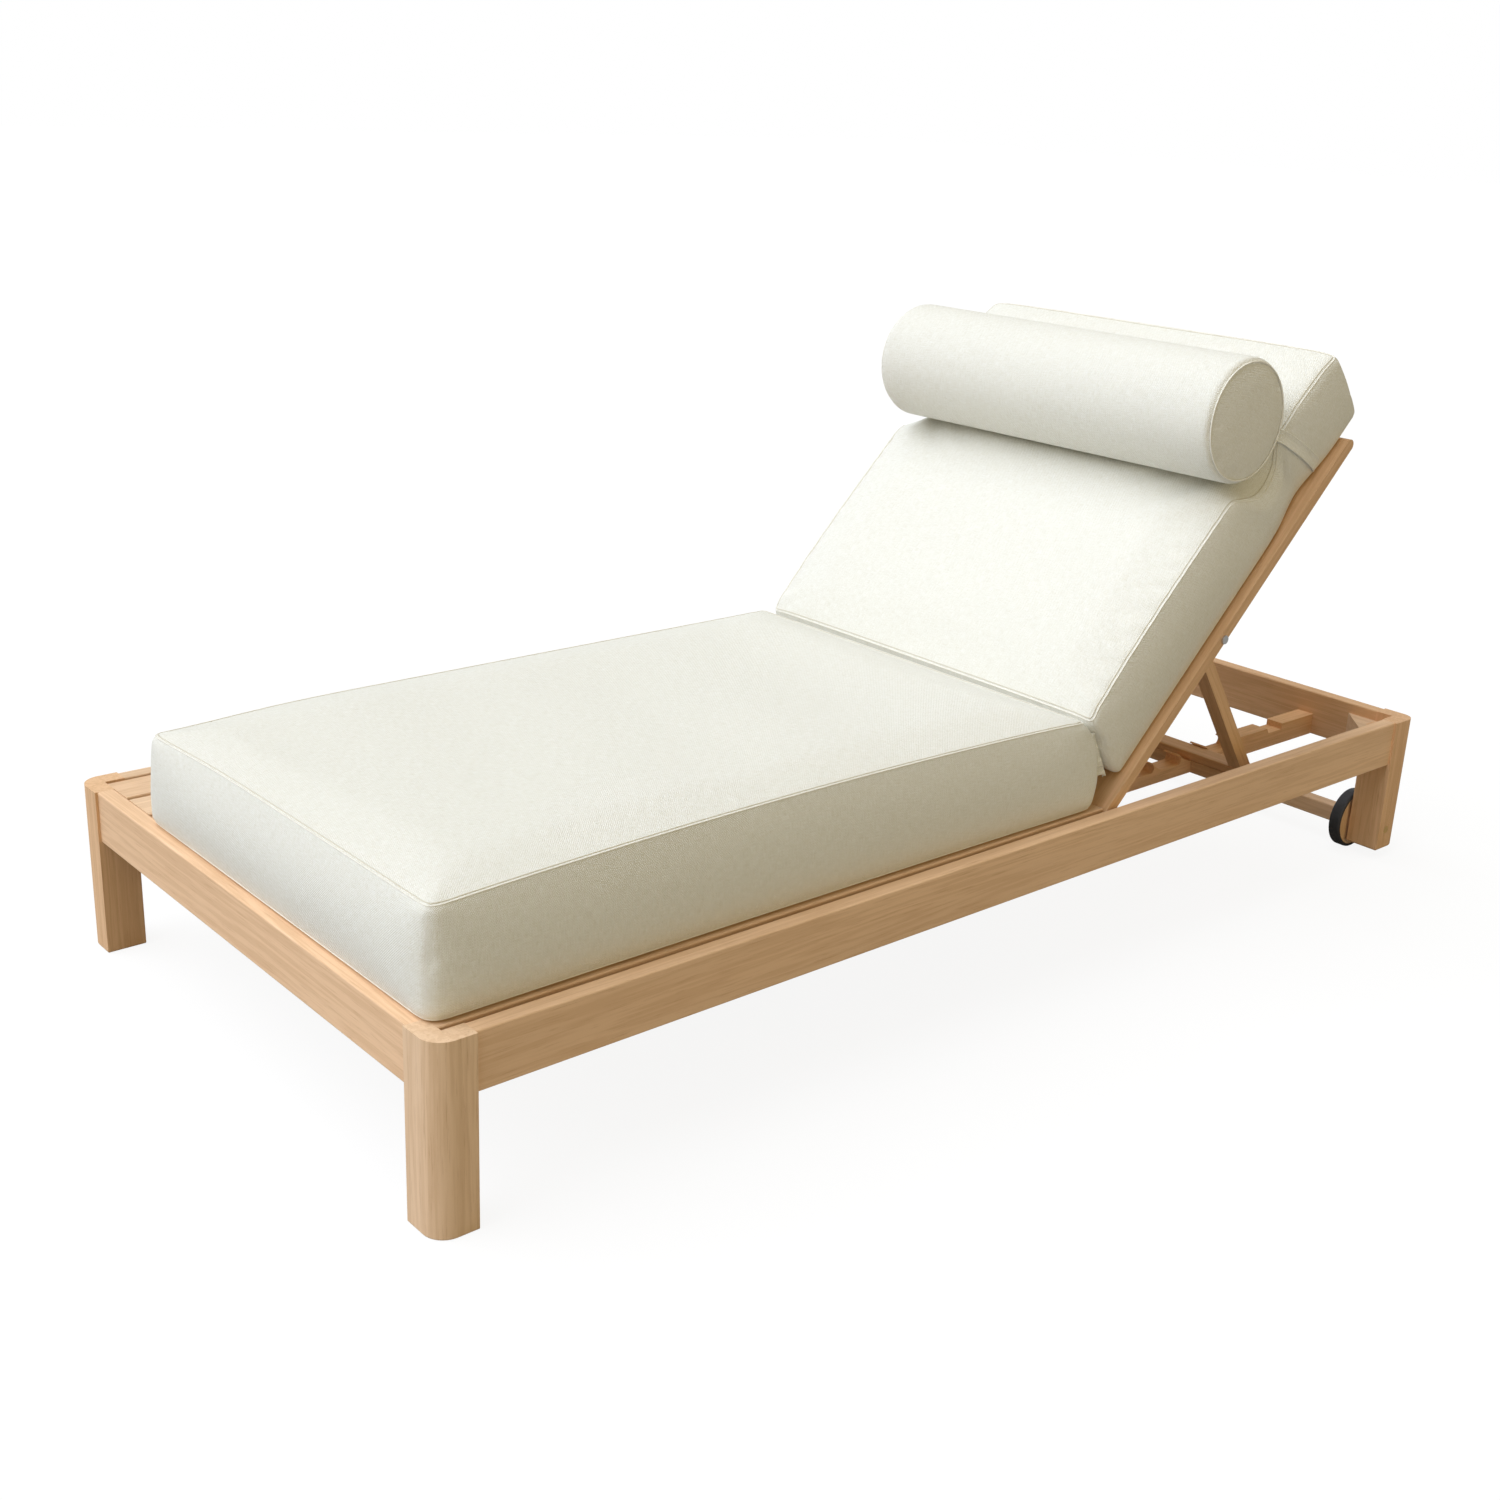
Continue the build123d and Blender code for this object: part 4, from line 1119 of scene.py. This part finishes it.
@dataclass
class Hem:
    """The crumpled edge of cloth that shows between mattress and back cushion at the near side."""

    ends: Tuple[Tuple[float, float], Tuple[float, float]] = ((68.0, 116.0), (42.0, 34.0))
    wide: float = 15.0
    across: float = 356.0
    rows: int = 60
    cols: int = 10

    def build(self) -> None:
        """Gathers a narrow sheet along a line: its waves grow from the sewn edge outwards.

        Sideways offset is a wave along the line times the square root of the way from the seam.
        """
        run = np.linspace(0, 1, self.rows)[:, None]
        way = np.linspace(0, 1, self.cols)[None, :]
        (s0, t0), (s1, t1) = self.ends
        taper = np.sin(pi * (0.06 + 0.9 * run)) ** 0.6
        wave = np.sin(run * 2 * pi * 3.3 + 0.8) + 0.5 * np.sin(run * 2 * pi * 7.1 + way * 2.0)
        x = self.across + 4.2 * wave * np.sqrt(way) * taper - 5.0 * way
        fold = 3.0 * np.sin(run * 2 * pi * 4.1 + way * 2.4) * way
        s = s0 + run * (s1 - s0) - way * self.wide * taper + fold
        t = t0 + run * (t1 - t0) + fold * 0.6
        flat = np.stack([x, s, t], axis=2).reshape(-1, 3)
        world = slope_to_world(BAY_X + flat[:, 0], *flat[:, 1:].T)
        cells = lattice(self.rows - 1, self.cols, False)
        faces = numbered(cells, self.rows, self.cols).tolist()
        hem = new_object("back_hem", world, faces, IVORY, cells * (0.0015, 0.0017))
        wall = hem.modifiers.new("wall", "SOLIDIFY")
        wall.thickness = 0.0014
        wall.offset = 0.0
        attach(hem, "backrest")


# Camera, lamps and floor

@dataclass
class Studio:
    """The photograph's camera, a plain even light and a white floor."""

    azimuth: float = 48.762
    elevation: float = 19.949
    roll: float = 2.482
    place: Tuple[float, float, float] = (2.06802, -1.94173, 1.27373)
    lens: float = 44.602
    sensor: float = 36.0
    ambient: float = 0.36
    floor_half: float = 30000.0
    floor_drop: float = 0.5

    def camera(self) -> None:
        """Places the camera as it was solved from the photograph."""
        turn, tip, tilt = radians(self.azimuth), radians(self.elevation), radians(self.roll)
        ahead = Vector((-sin(turn) * cos(tip), cos(turn) * cos(tip), -sin(tip)))
        level = Vector((cos(turn), sin(turn), 0.0))
        over = level.cross(ahead)
        right = level * cos(tilt) + over * sin(tilt)
        up = over * cos(tilt) - level * sin(tilt)
        data = bpy.data.cameras.new("camera")
        data.lens = self.lens
        data.sensor_width = self.sensor
        data.clip_end = 60.0
        camera = bpy.data.objects.new("camera", data)
        rows = Matrix((right, up, -ahead)).transposed().to_4x4()
        rows.translation = Vector(self.place)
        camera.matrix_world = rows
        bpy.context.scene.collection.objects.link(camera)
        bpy.context.scene.camera = camera

    def world(self) -> None:
        """White where the camera or a reflection sees it, and a soft warm light elsewhere."""
        world = bpy.data.worlds.new("world")
        bpy.context.scene.world = world
        world.use_nodes = True
        tree = world.node_tree
        back = tree.nodes["Background"]
        seen = Socket.make(tree, "LightPath", "Is Camera Ray")
        shine = Socket.make(tree, "LightPath", "Is Glossy Ray")
        through = Socket.make(tree, "LightPath", "Is Transmission Ray")
        white = (seen + shine + through).clamp()
        tint = white.mix(colour(1.0, 0.89, 0.60), colour(1, 1, 1))
        Socket.feed(back.inputs["Color"], tint)
        Socket.feed(back.inputs["Strength"], white * (1 - self.ambient) + self.ambient)

    def lamp(self, name: str, way: Sequence[float], strength: float, angle: float,
             tint: Sequence[float]) -> None:
        """Adds a sun lamp.

        Args:
            name: the lamp's name.
            way: the direction that it shines from.
            strength: its power.
            angle: how wide it looks, in degrees.
            tint: its colour.
        """
        data = bpy.data.lights.new(name, "SUN")
        data.energy = strength
        data.angle = radians(angle)
        data.color = tint
        lamp = bpy.data.objects.new(name, data)
        lamp.rotation_euler = Vector(way).to_track_quat("Z", "Y").to_euler()
        bpy.context.scene.collection.objects.link(lamp)

    def floor(self) -> None:
        """A large white floor that keeps a soft shadow."""
        size, level = self.floor_half, -self.floor_drop
        points = np.array([(-size, -size, level), (size, -size, level),
                           (size, size, level), (-size, size, level)])
        finish = Finish("floor_white", colour(0.9, 0.9, 0.9), 0.9)
        floor = new_object("floor", points, [(0, 1, 2, 3)], finish)
        shader = floor.data.materials[0].node_tree.nodes["Principled BSDF"]
        seen = Socket.make(shader.id_data, "LightPath", "Is Camera Ray")
        glow = seen.mix(colour(0, 0, 0), colour(0.90, 0.90, 0.90))
        base = seen.mix(colour(0.36, 0.36, 0.36), colour(0.11, 0.11, 0.11))
        shader.inputs["Specular IOR Level"].default_value = 0.0
        shader.inputs["Emission Strength"].default_value = 1.0
        Socket.feed(shader.inputs["Emission Color"], glow)
        Socket.feed(shader.inputs["Base Color"], base)

    def build(self) -> None:
        """Sets the whole stage."""
        self.camera()
        self.world()
        self.lamp("key", (-0.34, -0.61, 0.9), 3.45, 70.0, (0.82, 0.88, 1.0))
        self.lamp("fill", (0.95, -0.25, 0.35), 0.34, 40.0, (1.0, 0.70, 0.20))
        self.floor()
        bpy.context.scene.view_settings.view_transform = "Standard"


def main() -> None:
    """Builds the stage, dresses the CAD pieces and adds the soft ones."""
    logging.basicConfig(level=logging.INFO)
    Studio().build()
    Joinery(frame["nodes"]).dress()
    Mattress().build()
    back = BackCushion().build()
    Bolster().build()
    Strap().build(back)
    Hem().build()


if __name__ == "__main__":
    main()
